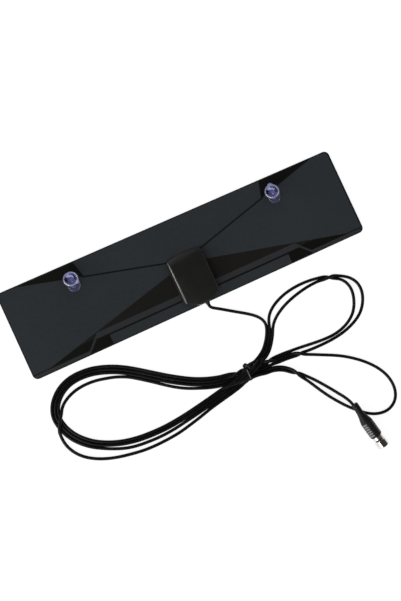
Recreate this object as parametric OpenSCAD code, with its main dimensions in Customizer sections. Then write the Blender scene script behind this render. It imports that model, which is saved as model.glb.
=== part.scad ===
// Flat indoor television antenna: a thin two-film panel with foil elements inside, a clamped
// feed housing, two suction cups, and a thin coaxial lead tied up in loops, ending in a screw plug.
// It lies face up. X runs along the panel, Y towards the edge with the cups, and Z is up.

/* [Panel] */
// Length of the panel
panel_l = 340; // [300:1:380]
// Width of the panel
panel_w = 85; // [82:0.5:100]
// Radius of the panel's corners
corner_r = 5; // [2:0.5:9]
// Thickness of each of the two films
film_t = 0.45; // [0.4:0.05:0.7]
// Thickness of the foil elements between the films
foil_t = 0.1; // [0.08:0.01:0.15]
// Depth of the printed fields in the front film
print_t = 0.1; // [0.08:0.01:0.15]
// Gap under the panel, filled by the rear clamp and the cup heads
lift = 2.6; // [2.4:0.1:4]

/* [Print] */
// Plain border left around the print
border = 1; // [0.5:0.1:3]
// Distance from the panel's end to the tips of the dark wedges
wedge_inset = 18; // [12:1:30]
// Width of the thin dark lines
line_w = 0.9; // [0.6:0.1:1.5]
// Width of the pale band along the lower edge
band_w = 5.2; // [3:0.1:6]
// Height of the pale band's upper edge above the panel's lower edge
band_rise = 16.5; // [15:0.5:18]
// Distance from the panel's end to the band's knee
knee_inset = 68; // [60:1:80]

/* [Suction cups] */
// Distance of each cup's hole from the panel's middle
cup_x = 103; // [90:1:120]
// Distance of each cup's hole from the panel's upper edge
cup_inset = 20.5; // [18:0.5:26]
// Diameter of the cup's lip
cup_d = 15; // [12:0.5:20]
// Diameter of the neck
neck_d = 4.6; // [3.6:0.2:5.6]
// Diameter of the flange that sits on the panel's face
flange_d = 12; // [9:0.5:14]
// Height of the flange
flange_h = 1; // [0.6:0.1:1.4]
// Diameter of the head behind the panel
head_d = 9.4; // [7:0.2:12]
// Height of the bell from the neck to the lip
bell_h = 5.2; // [4:0.1:7]
// Lean of the bell
bell_tilt = 14; // [5:1:20]
// Clearance around the neck in the panel's holes
neck_gap = 0.15; // [0.1:0.05:0.4]

/* [Housing] */
// Width of the housing at the panel
house_w = 37.2; // [34:0.2:44]
// Height of the housing above the panel's face
house_h = 6; // [5.6:0.1:9]
// Wall of the housing
house_wall = 1.4; // [1.2:0.1:1.8]
// Height of the housing's arched end above the panel's middle line
house_top = 9; // [8:0.5:12]
// Length of the slope at the arched end
slope_l = 8.5; // [5:0.5:10]
// Width of the bevel along each long edge
bevel_w = 1.5; // [0.8:0.1:2]
// Outer diameter of the screw bosses
boss_d = 4.6; // [4:0.2:5.4]
// Shank diameter of the housing screws
screw_d = 2; // [1.6:0.1:2.4]
// Head diameter of the housing screws
screw_head_d = 3.8; // [3.4:0.1:4.4]

/* [Circuit] */
// Length of the circuit board along the panel
board_l = 24; // [20:1:26]
// Width of the circuit board
board_w = 19; // [16:1:20]
// Thickness of the circuit board
board_t = 1; // [0.8:0.1:1.2]
// Outer diameter of the feed eyelets
eyelet_d = 3; // [2.4:0.1:3.6]
// Distance between the feed eyelets
eyelet_span = 17; // [14:0.5:18]

/* [Lead] */
// Diameter of the coaxial lead
cord_d = 2.7; // [2.4:0.1:3]
// Height of the tied loops
bundle_h = 5.9; // [5.7:0.1:6.4]
// Thickness of the tie
tie_t = 0.5; // [0.4:0.1:0.8]
// Width of the tie
tie_w = 2.6; // [1.6:0.1:3.6]

/* [Plug] */
// Largest diameter of the plug's grip
grip_d = 12; // [11.4:0.2:13]
// Diameter of the grip's tail
tail_d = 5.8; // [5:0.1:5.9]
// Length of the grip
grip_l = 38.5; // [37:0.5:42]
// Size of the coupling nut across its flats
nut_af = 11; // [10.4:0.1:11.4]
// Length of the coupling nut
nut_l = 7.5; // [7:0.1:9]
// Thread diameter inside the nut
nut_thread_d = 9.5; // [9.3:0.1:9.8]
// Length of the plug's collar in front of the grip
collar_l = 3.5; // [2:0.1:5]
// Gap between the collar and the nut
nut_gap = 1; // [0.5:0.1:2]
// Running clearance of the nut on the plug's neck
run_gap = 0.1; // [0.05:0.01:0.15]
// Diameter of the centre pin
pin_d = 1; // [0.7:0.1:1.2]

/* [Hidden] */

eps = 0.01;
$fn = 64;

// Heights of the panel's layers above the surface that it lies on
z_mid = lift + film_t;
z_face = lift + 2 * film_t;

// Printed pattern, for the right half: a ray to the cup and a diagonal to the lower corner
half_l = panel_l / 2;
half_w = panel_w / 2;
print_top = half_w - border;
print_end = half_l - border;
wedge_x = half_l - wedge_inset;
ray_start = [14, 5];
facet_low_x = cup_x - 12;
facet_top_x = cup_x - 7.5;
diag_start_y = -3.4;
band_top = -half_w + band_rise;
band_low = band_top - band_w;
foot_y = -half_w + 4;
knee_x = half_l - knee_inset;
knee_run = band_top - foot_y;
block_x = knee_x - 10;
print_start = 12;

// Heights and slopes of the printed lines, as functions of the distance from the middle
function ray_y(x) = ray_start[1] + (x - ray_start[0]) * (print_top - ray_start[1]) / (wedge_x - ray_start[0]);
function diag_y(x) =
    diag_start_y + (x - print_start) * (foot_y + line_w - diag_start_y) / (wedge_x - print_start);

// Cup holes, and how far each bell has leaned from its hole
cup_y = half_w - cup_inset;
lean_left = [-0.7, 6.4];
lean_right = [-2.2, 4.7];
tab_turn_left = -54;
tab_turn_right = 80;
bell_dish = 2.3;
bell_wall = 1.5;
lip_w = 0.5;
tab_r = 2.8;
tab_reach = 1.6;
bend_rise = 2.2;
bend_swell = 0.08;
bend_base = 0.4;
head_foot = 0.36;
head_rim = 0.4;
flange_edge = 0.4;
flange_slope = 1.4;
flange_edge_h = 0.7;
tab_t = 0.8;
tab_drop = 1;
bell_overlap = 0.2;

// Housing outline and its clamp screws
house_low = -half_w;
side_low = house_low + 7.5;
side_high = house_top - 5.2;
corner_x = house_w / 2 - 2.4;
foot_half = 4;
arch_rise = 2.7;
side_draft = 1.3;
end_draft = 1.2;
bevel_drop = 1.3;
arch_r = (corner_x * corner_x + arch_rise * arch_rise) / (2 * arch_rise);
skirt = 0.8;
screw_gap = 0.1;
top_screw_inset = 12.5;
side_screw_x = house_w / 2 - 6.2;
side_screw_y = side_low + 2;
screw_points = [[0, house_top - top_screw_inset], [side_screw_x, side_screw_y], [-side_screw_x, side_screw_y]];
screw_seat = 1.1;
screw_grip = 2.4;

// Board, eyelets and balun inside the housing
board_rise = 23.5;
board_y = house_low + board_rise;
flange_t = 0.8;
board_z = z_face + flange_t;
board_top = board_z + board_t;
eyelet_bore = eyelet_d - 1;
eyelet_lip = 0.3;
solder_rise = 0.2;
eyelet_flange_d = eyelet_d + 2;
eyelet_y = board_y - 1.5;
pocket_margin = 4;
pocket_l = eyelet_span + 2 * pocket_margin;
pocket_w = board_w - pocket_margin;
core_size = [8, 5, 2];
core_bore = 1;
core_pitch = 3.8;
wire_d = 0.7;
core_rise = 3.5;
core_y = board_y + core_rise;
chip_size = [2, 1.2, 0.8];
chip_points = [[-3.2, -4.5], [-0.2, -4.5], [-3.2, -7]];

// Cable exit through the housing's lower wall
exit_x = 2.2;
exit_flange_r = 2.2;
exit_z = z_face + exit_flange_r + 0.05;
exit_neck_r = 1.75;
exit_gap = 0.05;
relief_l = 2.5;
relief_tip_r = 1.65;
relief_end = house_low - relief_l;
cable_in = board_y - board_w / 2 - 1.2;
core_tail_w = 0.6;
braid_tail_w = 0.9;
braid_tail_x = -0.9;
tail_reach = 4.2;
tail_h = 0.95;

// Plug lying on the surface: its tail's middle, and the direction of its axis
plug_z = grip_d / 2 + 0.1;
plug_start = [87.1, -183.9, plug_z];
plug_turn = 11.4;
grip_end = grip_l;
collar_end = grip_end + collar_l;
nut_back = collar_end + nut_gap;
nut_front = nut_back + nut_l;
neck_r = 3.5;
nut_wall = 1.2;
retainer_r = 4.3;
retainer_t = 0.8;
retainer_back = nut_back + nut_wall + 0.2;
retainer_front = retainer_back + retainer_t;
shell_r = 4.2;
shell_back = grip_end - 11;
insulator_r = 1.5;
pin_reach = 0.6;
collar_r = 5.2;
rib_count = 5;
rib_pitch = 2.4;
rib_depth = 0.45;
rib_start_share = 0.6;
rib_flat = 1.3;
rib_bevel = 0.3;
rib_floor = 0.5;
tail_ring_first = 3.2;
tail_ring_count = 4;
tail_ring_depth = 0.3;
tail_ring_flat = 0.4;
tail_chamfer = 0.6;
tail_chamfer_l = 1.4;
tail_slim = 0.1;
tail_l = 12.5;
flare_low = [16, 0.9];
flare_high = [20.4, 0.9];
shoulder = [22.4, 0.2];
nose = [2.6, 0.8, 0.3, 0.9];
collar_groove = [0.31, 0.39, 0.49, 0.56];
collar_groove_depth = 0.35;
collar_chamfer = 0.5;
pin_point = [0.25, 0.3];
nut_corner_cut = 0.35;
nut_chamfer = 0.6;

// Foil element, for the right half
foil_in = 5.5;
foil_feed = [eyelet_y - 4.5, eyelet_y + 4.5];
foil_neck_x = house_w / 2 + 3;
foil_flare = 28;
foil_flare_x = foil_neck_x + foil_flare;
foil_inset = 14;
foil_out = half_l - foil_inset;
foil_low = -half_w + 6;
foil_high = half_w - 6;
foil_slot = 3;

// Lead's route on the surface: middle of the lead, in hand-placed points
cord_z = cord_d / 2;
lead_points = [[exit_x, relief_end, exit_z], [2.6, -47, 5.6], [4.0, -48.8, 5.2], [6.4, -50.4, 4.7],
               [10, -52.6, 3.9], [15, -55.9, 3], [20, -59.2, 2.2], [25, -62.5, 1.6],
               [30, -65.7, cord_z], [35, -69.2, cord_z], [40, -73, cord_z], [43, -76.3, cord_z],
               [45.2, -79.2, cord_z]];
loop_end_points = [[67.5, -125, cord_z], [73, -127.9, cord_z], [80, -131.5, cord_z], [90, -136.4, cord_z],
                   [100, -142, cord_z], [110, -149.5, cord_z], [115.3, -154, cord_z], [120, -159, cord_z],
                   [124, -163.7, cord_z], [127.2, -168.5, cord_z], [129.8, -173.5, cord_z],
                   [131.6, -179, cord_z], [132.5, -185.5, cord_z], [132, -191.5, cord_z],
                   [130.5, -196.3, cord_z], [127.8, -200.4, cord_z], [124, -203.5, cord_z],
                   [119.2, -205.6, cord_z], [113.8, -206.3, cord_z], [107, -205, cord_z],
                   [100, -202, cord_z], [95, -198.3, cord_z], [90, -193.4, cord_z], [84, -187.5, cord_z],
                   [78.8, -181.3, cord_z], [74, -174.8, cord_z], [70, -169, cord_z], [65, -160.6, cord_z],
                   [60.5, -152.2, cord_z], [56.6, -145.1, cord_z]];
plug_run_points = [[59, -143.3, cord_z], [64.7, -150, cord_z], [70, -157, cord_z], [75, -164, 1.7],
                   [79.5, -170.4, 2.9], [83, -175.6, 4.5], [85.1, -178.6, 5.6], [86.5, -181, plug_z],
                   plug_start];

// Outlines of the tied loops, seen from above
coil_left_outer = [[34, -104.8], [25, -109], [13, -111.9], [5, -111.9], [-5, -112.3], [-15, -110], [-30, -104],
                   [-45, -95.5], [-60, -85.3], [-75, -74.8], [-90, -64], [-105, -55.5], [-118, -51.5],
                   [-130, -50.4], [-142, -51.5], [-154, -55.6], [-162, -61.3], [-168, -70], [-170, -79],
                   [-170.6, -88], [-171.2, -97], [-170.3, -107], [-166, -116], [-158.5, -124.8],
                   [-148, -131.5], [-135, -137], [-120, -140.5], [-105, -142.5], [-90, -143], [-75, -142.3],
                   [-60, -139.8], [-45, -136.2], [-30, -132.4], [-15, -128.6], [-5, -126], [5, -124.5],
                   [13, -124.5], [24, -122.8], [34, -126.3]];
coil_left_inner = [[-10, -119.6], [-30, -115.4], [-50, -107.4], [-70, -92.8], [-85, -79.6], [-104, -69.6],
                   [-118, -66.6], [-130, -65.8], [-142, -67], [-152, -70.8], [-160, -78], [-164.2, -86],
                   [-163, -93], [-158, -100.5], [-148, -109], [-135, -117.6], [-122, -123], [-110, -126],
                   [-95, -127.6], [-75, -127.3], [-50, -124.8], [-30, -122]];
coil_right_outer = [[34, -126.3], [40, -129.8], [45, -134], [50, -139], [55.3, -145.8], [57.9, -144.35],
                    [60.1, -142.35], [53, -134], [48.5, -128.3], [45.5, -123.6], [55, -123.3], [62, -123.8],
                    [66.75, -126.3], [68.25, -123.7],
                    [80, -124.9], [92, -124.9], [104, -123.7], [116, -121.2], [127, -117.4], [135, -112.2],
                    [141, -104.8], [144.8, -96.3], [145.8, -88], [143.4, -79.5], [138.5, -73.2], [131, -69.3],
                    [120, -65.6], [110, -63], [100, -61.9], [90, -61.7], [80, -62.5], [70, -64.6],
                    [60, -68.3], [53.6, -71.5], [48, -77.2], [46.3, -78.4], [44.1, -80], [43.8, -85],
                    [41.6, -90.5],
                    [37.6, -97], [34, -103.6]];
coil_right_inner = [[50, -89], [60, -81.6], [70, -76.4], [80, -72.8], [90, -70.5], [100, -69.3], [110, -69],
                    [118, -69.7], [124, -71.6], [129.5, -76], [133, -82], [133.6, -90], [131, -98],
                    [126, -105.8], [120, -112], [113, -116.4], [105, -118.6], [95, -119.4], [82, -118.2],
                    [65, -115.2], [45, -113.8], [38.5, -113.4], [38.5, -110], [40.5, -103], [44, -99.4],
                    [47.3, -94.3]];
tie_x = 9;
tie_y = [-124.5, -111.9];
tie_end_z = 2.4;
tie_end_r = 1.1;
tie_end_l = 4;
tie_end_turn = 14;

// Rings of a round tube along a list of points, each square to the route there
function unit(v) = v / norm(v);
function heading(p, i) =
    let (n = len(p) - 1)
    i == 0 ? unit(p[1] - p[0]) : i == n ? unit(p[n] - p[n - 1]) : unit(p[i + 1] - p[i - 1]);
function ring(p, i, r, sides, first) =
    let (d = i == 0 && len(first) == 3 ? first : heading(p, i),
         u = unit(cross([0, 0, 1], d)), v = cross(d, u))
    [for (k = [0:sides - 1]) let (a = 360 * (k + 0.5) / sides) p[i] + r * (cos(a) * u + sin(a) * v)];

module tube(points, r, first = []) {
    sides = 8;
    n = len(points);
    rings = [for (i = [0:n - 1]) each ring(points, i, r / cos(180 / sides), sides, first)];
    walls = [for (i = [0:n - 2]) for (k = [0:sides - 1])
        let (a = i * sides + k, b = i * sides + (k + 1) % sides) [a, b, b + sides, a + sides]];
    start = [for (k = [sides - 1:-1:0]) k];
    finish = [for (k = [0:sides - 1]) (n - 1) * sides + k];
    polyhedron(points = rings, faces = concat([start], [for (f = walls) f], [finish]));
}

// Panel
module panel_outline() {
    square([panel_l - 2 * corner_r, panel_w], center = true);
    square([panel_l, panel_w - 2 * corner_r], center = true);
    for (x = [-1, 1], y = [-1, 1])
        translate([x * (half_l - corner_r), y * (half_w - corner_r)]) circle(r = corner_r);
}

module panel_holes(z, h) {
    for (side = [-1, 1]) {
        translate([side * cup_x, cup_y, z]) cylinder(d = neck_d + 2 * neck_gap, h = h);
        translate([side * eyelet_span / 2, eyelet_y, z]) cylinder(d = eyelet_d, h = h);
    }
    for (p = screw_points) translate([p[0], p[1], z]) cylinder(d = screw_d + 2 * screw_gap, h = h);
}

module foil_outline() {
    difference() {
        polygon([[foil_in, foil_feed[0]], [foil_neck_x, foil_feed[0]], [foil_flare_x, foil_low],
                 [foil_out, foil_low], [foil_out, foil_high], [foil_flare_x, foil_high],
                 [foil_neck_x, foil_feed[1]], [foil_in, foil_feed[1]]]);
        translate([eyelet_span / 2, eyelet_y]) circle(d = eyelet_d);
        translate([cup_x, cup_y]) circle(d = neck_d + 4);
        translate([foil_flare_x, -foil_slot / 2]) square([foil_out - foil_flare_x - 12, foil_slot]);
    }
}

module back_film() {
    color([0.12, 0.13, 0.14])
    difference() {
        translate([0, 0, lift]) linear_extrude(film_t) panel_outline();
        panel_holes(lift - 1, film_t + 2);
        for (m = [0, 1]) mirror([m, 0, 0])
            translate([0, 0, z_mid - foil_t]) linear_extrude(foil_t + 1) foil_outline();
    }
}

module foil_element(side) {
    color([0.75, 0.75, 0.77])
    mirror([side < 0 ? 1 : 0, 0, 0])
        translate([0, 0, z_mid - foil_t]) linear_extrude(foil_t) foil_outline();
}

// Thin line of the print from one point to another, cut square to the panel's length
module print_line(a, b) {
    polygon([a - [0, line_w / 2], b - [0, line_w / 2], b + [0, line_w / 2], a + [0, line_w / 2]]);
}

module facet_half() {
    // Dark corner behind the cup, and the line from it to the housing
    polygon([[facet_top_x, print_top], [facet_low_x, ray_y(facet_low_x)], [wedge_x, print_top]]);
    print_line([print_start, ray_y(print_start)], [facet_low_x + 1, ray_y(facet_low_x + 1)]);
    // Wedge between the diagonal and the band, and the line from its tip to the panel's end
    polygon([[print_start, diag_y(print_start)], [wedge_x, diag_y(wedge_x)], [wedge_x, foot_y],
             [knee_x + knee_run, foot_y], [knee_x, band_top], [print_start, band_top]]);
    translate([wedge_x - 1, foot_y]) square([print_end - wedge_x + 1, line_w]);
    // Line under the band, and the dark block where the band turns down
    translate([print_start, band_low - line_w]) square([block_x + 1 - print_start, line_w]);
    polygon([[block_x, band_low], [knee_x + band_w / 2, band_low],
             [knee_x + band_w / 2 + band_low + print_top, -print_top], [block_x, -print_top]]);
}

module band_half() {
    polygon([[print_start, band_top], [knee_x, band_top], [knee_x + knee_run, foot_y], [print_end, foot_y],
             [print_end, -print_top], [knee_x + band_w / 2 + band_low + print_top, -print_top],
             [knee_x + band_w / 2, band_low], [print_start, band_low]]);
}

// Both halves of a printed shape, clear of the cups and of what passes under the housing
module both_halves(z, h) {
    difference() {
        for (m = [0, 1]) mirror([m, 0, 0]) translate([0, 0, z]) linear_extrude(h) children();
        panel_holes(z - 1, h + 2);
        for (side = [-1, 1]) translate([side * (half_l - corner_r), -half_w + corner_r, z - 1])
            difference() {
                translate([side > 0 ? 0 : -corner_r, -corner_r, 0]) cube([corner_r, corner_r, h + 2]);
                translate([0, 0, -1]) cylinder(r = corner_r - border, h = h + 4);
            }
    }
}

module printed_facets() {
    color([0.07, 0.07, 0.065]) both_halves(z_face - print_t, print_t) facet_half();
}

module printed_bands() {
    color([0.17, 0.18, 0.2]) both_halves(z_face - print_t, print_t) band_half();
}

module front_film() {
    color([0.15, 0.17, 0.19])
    difference() {
        translate([0, 0, z_mid]) linear_extrude(film_t) panel_outline();
        panel_holes(z_mid - 1, film_t + 2);
        both_halves(z_face - print_t, print_t + 1) facet_half();
        both_halves(z_face - print_t, print_t + 1) band_half();
    }
}

module feed_eyelet(side) {
    color([0.8, 0.7, 0.45])
    translate([side * eyelet_span / 2, eyelet_y, 0])
        difference() {
            union() {
                translate([0, 0, lift - eyelet_lip]) cylinder(d = eyelet_flange_d, h = eyelet_lip);
                translate([0, 0, lift - eyelet_lip])
                    cylinder(d = eyelet_d, h = board_top + solder_rise - lift + eyelet_lip);
                translate([0, 0, z_face]) cylinder(d = eyelet_flange_d, h = flange_t);
            }
            translate([0, 0, lift - 1]) cylinder(d = eyelet_bore, h = 8);
        }
}

// Housing: the outline from above, cut by a profile across it and one along it
module house_outline(inset) {
    half = house_w / 2 - inset;
    cx = corner_x - inset;
    intersection() {
        polygon([[-half, side_low + inset / 2], [-foot_half + inset / 2, house_low + inset],
                 [foot_half - inset / 2, house_low + inset], [half, side_low + inset / 2],
                 [half, side_high - inset / 2], [cx, house_top - arch_rise - inset / 2], [cx, house_top],
                 [-cx, house_top], [-cx, house_top - arch_rise - inset / 2], [-half, side_high - inset / 2]]);
        translate([0, house_top - arch_r]) circle(r = arch_r - inset, $fn = 256);
    }
}

module house_form(inset) {
    half = house_w / 2 - inset;
    top = house_h - inset;
    run = 2 * house_w;
    intersection() {
        linear_extrude(top) house_outline(inset);
        rotate([90, 0, 0]) linear_extrude(run * 2, center = true)
            polygon([[-half, -1], [-half, skirt], [side_draft - half, top - bevel_drop],
                     [side_draft + bevel_w - half, top], [half - side_draft - bevel_w, top],
                     [half - side_draft, top - bevel_drop], [half, skirt], [half, -1]]);
        rotate([90, 0, 90]) linear_extrude(run, center = true)
            polygon([[house_low + inset, -1], [house_low + inset, top - bevel_drop],
                     [house_low + inset + end_draft, top], [house_top - inset - slope_l, top],
                     [house_top - inset, skirt], [house_top - inset, -1]]);
    }
}

module housing_cover() {
    color([0.13, 0.13, 0.125])
    difference() {
        translate([0, 0, z_face]) union() {
            difference() {
                house_form(0);
                translate([0, 0, -eps]) house_form(house_wall);
            }
            intersection() {
                for (p = screw_points) translate([p[0], p[1], 0]) cylinder(d = boss_d, h = house_h);
                house_form(house_wall / 2);
            }
        }
        for (p = screw_points)
            translate([p[0], p[1], z_face - 1]) cylinder(d = screw_d + screw_gap, h = 1 + screw_grip + 0.3);
        translate([exit_x, house_low + house_wall + 1, exit_z]) rotate([90, 0, 0])
            cylinder(r = exit_neck_r + exit_gap, h = house_wall + 2);
        translate([exit_x, house_low + house_wall + 1 + exit_gap, exit_z]) rotate([90, 0, 0])
            cylinder(r = exit_flange_r + exit_gap, h = 1 + exit_gap);
    }
}

module housing_back() {
    color([0.1, 0.1, 0.1])
    difference() {
        intersection() {
            linear_extrude(lift) house_outline(0.5);
            rotate([90, 0, 0]) linear_extrude(4 * house_w, center = true)
                polygon([[-house_w / 2 + 1.4, 0], [house_w / 2 - 1.4, 0], [house_w / 2 - 0.5, 1],
                         [house_w / 2 - 0.5, lift + 1], [0.5 - house_w / 2, lift + 1], [0.5 - house_w / 2, 1]]);
        }
        translate([-pocket_l / 2, eyelet_y - pocket_w / 2, lift - 1]) cube([pocket_l, pocket_w, 2]);
        for (p = screw_points) translate([p[0], p[1], -1]) {
            cylinder(d = screw_d + 2 * screw_gap, h = lift + 2);
            cylinder(d = screw_head_d + 0.5, h = 1 + screw_seat);
        }
    }
}

module housing_screws() {
    cross_w = 0.5;
    cross_l = 2.2;
    cross_deep = 0.7;
    color([0.5, 0.5, 0.52])
    for (p = screw_points) translate([p[0], p[1], 0])
        difference() {
            union() {
                translate([0, 0, 0.2]) cylinder(d = screw_head_d, h = screw_seat - 0.2);
                translate([0, 0, screw_seat - eps])
                    cylinder(d = screw_d, h = z_face + screw_grip - screw_seat + eps);
            }
            for (turn = [0, 90]) rotate(turn)
                translate([-cross_l / 2, -cross_w / 2, -1]) cube([cross_l, cross_w, 1 + cross_deep]);
        }
}

// Circuit inside the housing
module circuit_board() {
    color([0.1, 0.35, 0.2])
    difference() {
        translate([-board_l / 2, board_y - board_w / 2, board_z]) cube([board_l, board_w, board_t]);
        for (side = [-1, 1]) translate([side * eyelet_span / 2, eyelet_y, 0])
            cylinder(d = eyelet_d, h = board_top + 1);
    }
}

module board_chips() {
    color([0.35, 0.3, 0.25])
    for (p = chip_points)
        translate([p[0] - chip_size[0] / 2, board_y + p[1] - chip_size[1] / 2, board_top]) cube(chip_size);
}

module ferrite_core() {
    color([0.2, 0.2, 0.21])
    translate([0, core_y, board_top + 0.1])
        difference() {
            union() {
                translate([-core_pitch / 2, core_size[1] / 2, core_size[2] / 2]) rotate([90, 0, 0])
                    cylinder(d = core_size[2], h = core_size[1]);
                translate([core_pitch / 2, core_size[1] / 2, core_size[2] / 2]) rotate([90, 0, 0])
                    cylinder(d = core_size[2], h = core_size[1]);
                translate([-core_pitch / 2, -core_size[1] / 2, -0.1])
                    cube([core_pitch, core_size[1], core_size[2] + 0.1]);
            }
            for (side = [-1, 1]) translate([side * core_pitch / 2, core_size[1], core_size[2] / 2])
                rotate([90, 0, 0]) cylinder(d = core_bore, h = 2 * core_size[1]);
        }
}

module balun_winding() {
    wire_z = board_top + 0.1 + core_size[2] / 2;
    reach = core_size[1] / 2 + 0.4;
    color([0.7, 0.35, 0.15])
    translate([0, core_y, wire_z]) {
        for (side = [-1, 1]) {
            translate([side * core_pitch / 2, reach, 0]) rotate([90, 0, 0]) cylinder(d = wire_d, h = 2 * reach);
            translate([side * core_pitch / 2, -reach, 0]) sphere(d = wire_d);
            translate([side * core_pitch / 2, -reach, board_top - wire_z])
                cylinder(d = wire_d, h = wire_z - board_top);
        }
        translate([0, reach, 0]) rotate_extrude(angle = 180) translate([core_pitch / 2, 0]) circle(d = wire_d);
    }
}

module cable_end() {
    color([0.1, 0.1, 0.11])
    translate([exit_x, cable_in, exit_z]) rotate([90, 0, 0]) cylinder(d = cord_d, h = cable_in - relief_end);
}

module cable_tails() {
    // Core and braid, each drawn out to its own solder pad on the board
    color([0.72, 0.72, 0.7])
    for (tail = [[0, core_tail_w], [braid_tail_x, braid_tail_w]])
        translate([exit_x + tail[0] - tail[1] / 2, cable_in, board_top]) cube([tail[1], tail_reach, tail_h]);
}

module strain_relief() {
    color([0.08, 0.08, 0.085])
    translate([exit_x, house_low, exit_z]) rotate([90, 0, 0])
        rotate_extrude()
            polygon([[cord_d / 2 + exit_gap, -house_wall - 1], [exit_flange_r, -house_wall - 1],
                     [exit_flange_r, -house_wall], [exit_neck_r, -house_wall], [exit_neck_r, 0],
                     [exit_flange_r, 0], [exit_flange_r, 0.5], [relief_tip_r + 0.3, 0.9],
                     [relief_tip_r, relief_l], [cord_d / 2 + exit_gap, relief_l]]);
}

// Suction cup: head, shank and flange on the panel, a bent neck, and the leaning bell with its tab
function dish_z(r) = bell_h - bell_dish * (1 - pow(r / (cup_d / 2 - lip_w), 2));

module bell() {
    lip_r = cup_d / 2;
    steps = 8;
    neck = neck_d / 2;
    inner = [for (k = [0:steps]) let (r = (lip_r - lip_w) * (1 - k / steps)) [r, dish_z(r)]];
    outer = [for (k = [0:steps]) let (t = k / steps, r = neck + (lip_r - neck) * t)
        [r, dish_z(r) - bell_wall * (1 - t) - lip_w * t]];
    rotate_extrude()
        polygon(concat([[0, -bell_overlap], [neck, -bell_overlap]], outer, [[lip_r, bell_h]], inner));
}

module pull_tab(turn) {
    lip_r = cup_d / 2;
    rotate(turn) translate([0, 0, bell_h - tab_drop]) linear_extrude(tab_t)
        difference() {
            translate([lip_r - tab_r + tab_reach, 0]) circle(r = tab_r);
            circle(r = lip_r - lip_w / 2);
        }
}

module suction_cup(side, lean, turn) {
    neck = neck_d / 2;
    lean_turn = atan2(lean[1], lean[0]);
    shift = norm(lean) - bell_h * sin(bell_tilt);
    bend_low = z_face + flange_h + neck * bend_base;
    bend_high = bend_low + bend_rise;
    color([0.72, 0.72, 0.9, 0.6])
    translate([side * cup_x, cup_y, 0]) rotate(lean_turn) {
        rotate_extrude()
            polygon([[0, 0], [head_d * head_foot, 0], [head_d / 2, lift * head_rim], [head_d / 2, lift],
                     [neck, lift], [neck, z_face], [flange_d / 2, z_face],
                     [flange_d / 2 - flange_edge, z_face + flange_h * flange_edge_h],
                     [flange_d / 2 - flange_slope, z_face + flange_h], [0, z_face + flange_h]]);
        translate([0, 0, bend_low]) sphere(r = neck + bend_swell);
        translate([0, 0, bend_low]) rotate([0, atan2(shift, bend_rise), 0])
            cylinder(r = neck, h = norm([shift, bend_rise]));
        translate([shift, 0, bend_high]) sphere(r = neck + bend_swell);
        translate([shift, 0, bend_high]) rotate([0, bell_tilt, 0]) bell();
        translate([shift, 0, bend_high]) rotate([0, bell_tilt, 0]) pull_tab(turn - lean_turn);
    }
}

// Lead and what is on it
module cord_lead() {
    color([0.08, 0.08, 0.085]) tube(lead_points, cord_d / 2, [0, -1, 0]);
}

module cord_coil_left() {
    color([0.08, 0.08, 0.085])
    difference() {
        linear_extrude(bundle_h) difference() {
            polygon(coil_left_outer);
            polygon(coil_left_inner);
        }
        translate([tie_x - tie_w / 2, tie_y[0] - 1, -1]) cube([tie_w, tie_y[1] - tie_y[0] + 2, 1 + tie_t]);
    }
}

module cord_coil_right() {
    color([0.08, 0.08, 0.085])
    linear_extrude(bundle_h) difference() {
        polygon(coil_right_outer);
        polygon(coil_right_inner);
    }
}

module cord_loop_end() {
    color([0.08, 0.08, 0.085]) tube(loop_end_points, cord_d / 2);
}

module cord_plug_run() {
    color([0.08, 0.08, 0.085]) tube(plug_run_points, cord_d / 2);
}

module cord_tie() {
    depth = tie_y[1] - tie_y[0];
    color([0.05, 0.05, 0.05]) {
        difference() {
            translate([tie_x - tie_w / 2, tie_y[0] - tie_t, 0])
                cube([tie_w, depth + 2 * tie_t, bundle_h + tie_t]);
            translate([tie_x - tie_w, tie_y[0], tie_t]) cube([2 * tie_w, depth, bundle_h - tie_t]);
        }
        // Wound ends of the tie
        translate([tie_x, tie_y[1] + tie_t - 0.3, tie_end_z]) rotate([-90, 0, -tie_end_turn])
            cylinder(r = tie_end_r, h = tie_end_l);
    }
}

// Plug along its axis, from the grip's tail at zero to the nut's mouth
module on_plug() {
    translate(plug_start) rotate([90, 0, plug_turn]) children();
}

function tail_ring(k) = let (r = tail_d / 2 - tail_slim, s = tail_ring_first + k * rib_pitch)
    [[r, s - tail_ring_flat], [r - tail_ring_depth, s - tail_ring_flat / 2],
     [r - tail_ring_depth, s + tail_ring_flat / 2], [r, s + tail_ring_flat]];
function grip_rib(k) = let (wide = grip_d / 2, s = grip_l * rib_start_share + k * rib_pitch)
    [[wide, s], [wide, s + rib_flat], [wide - rib_depth, s + rib_flat + rib_bevel],
     [wide - rib_depth, s + rib_flat + rib_bevel + rib_floor]];
function grip_profile() = let (tail = tail_d / 2, wide = grip_d / 2) concat(
    [[0, 0], [tail - tail_chamfer, 0], [tail - tail_slim, tail_chamfer_l]],
    [for (k = [0:tail_ring_count - 1]) each tail_ring(k)],
    [[tail, tail_l], [tail + flare_low[1], flare_low[0]], [wide - flare_high[1], flare_high[0]],
     [wide - shoulder[1], shoulder[0]]],
    [for (k = [0:rib_count - 1]) each grip_rib(k)],
    [[wide, grip_l - nose[0]], [wide - nose[2], grip_l - nose[1]], [wide - nose[3], grip_l], [0, grip_l]]);

module plug_grip() {
    color([0.07, 0.07, 0.075])
    on_plug() difference() {
        rotate_extrude() polygon(grip_profile());
        translate([0, 0, shell_back]) cylinder(r = shell_r, h = grip_l);
    }
}

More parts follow.
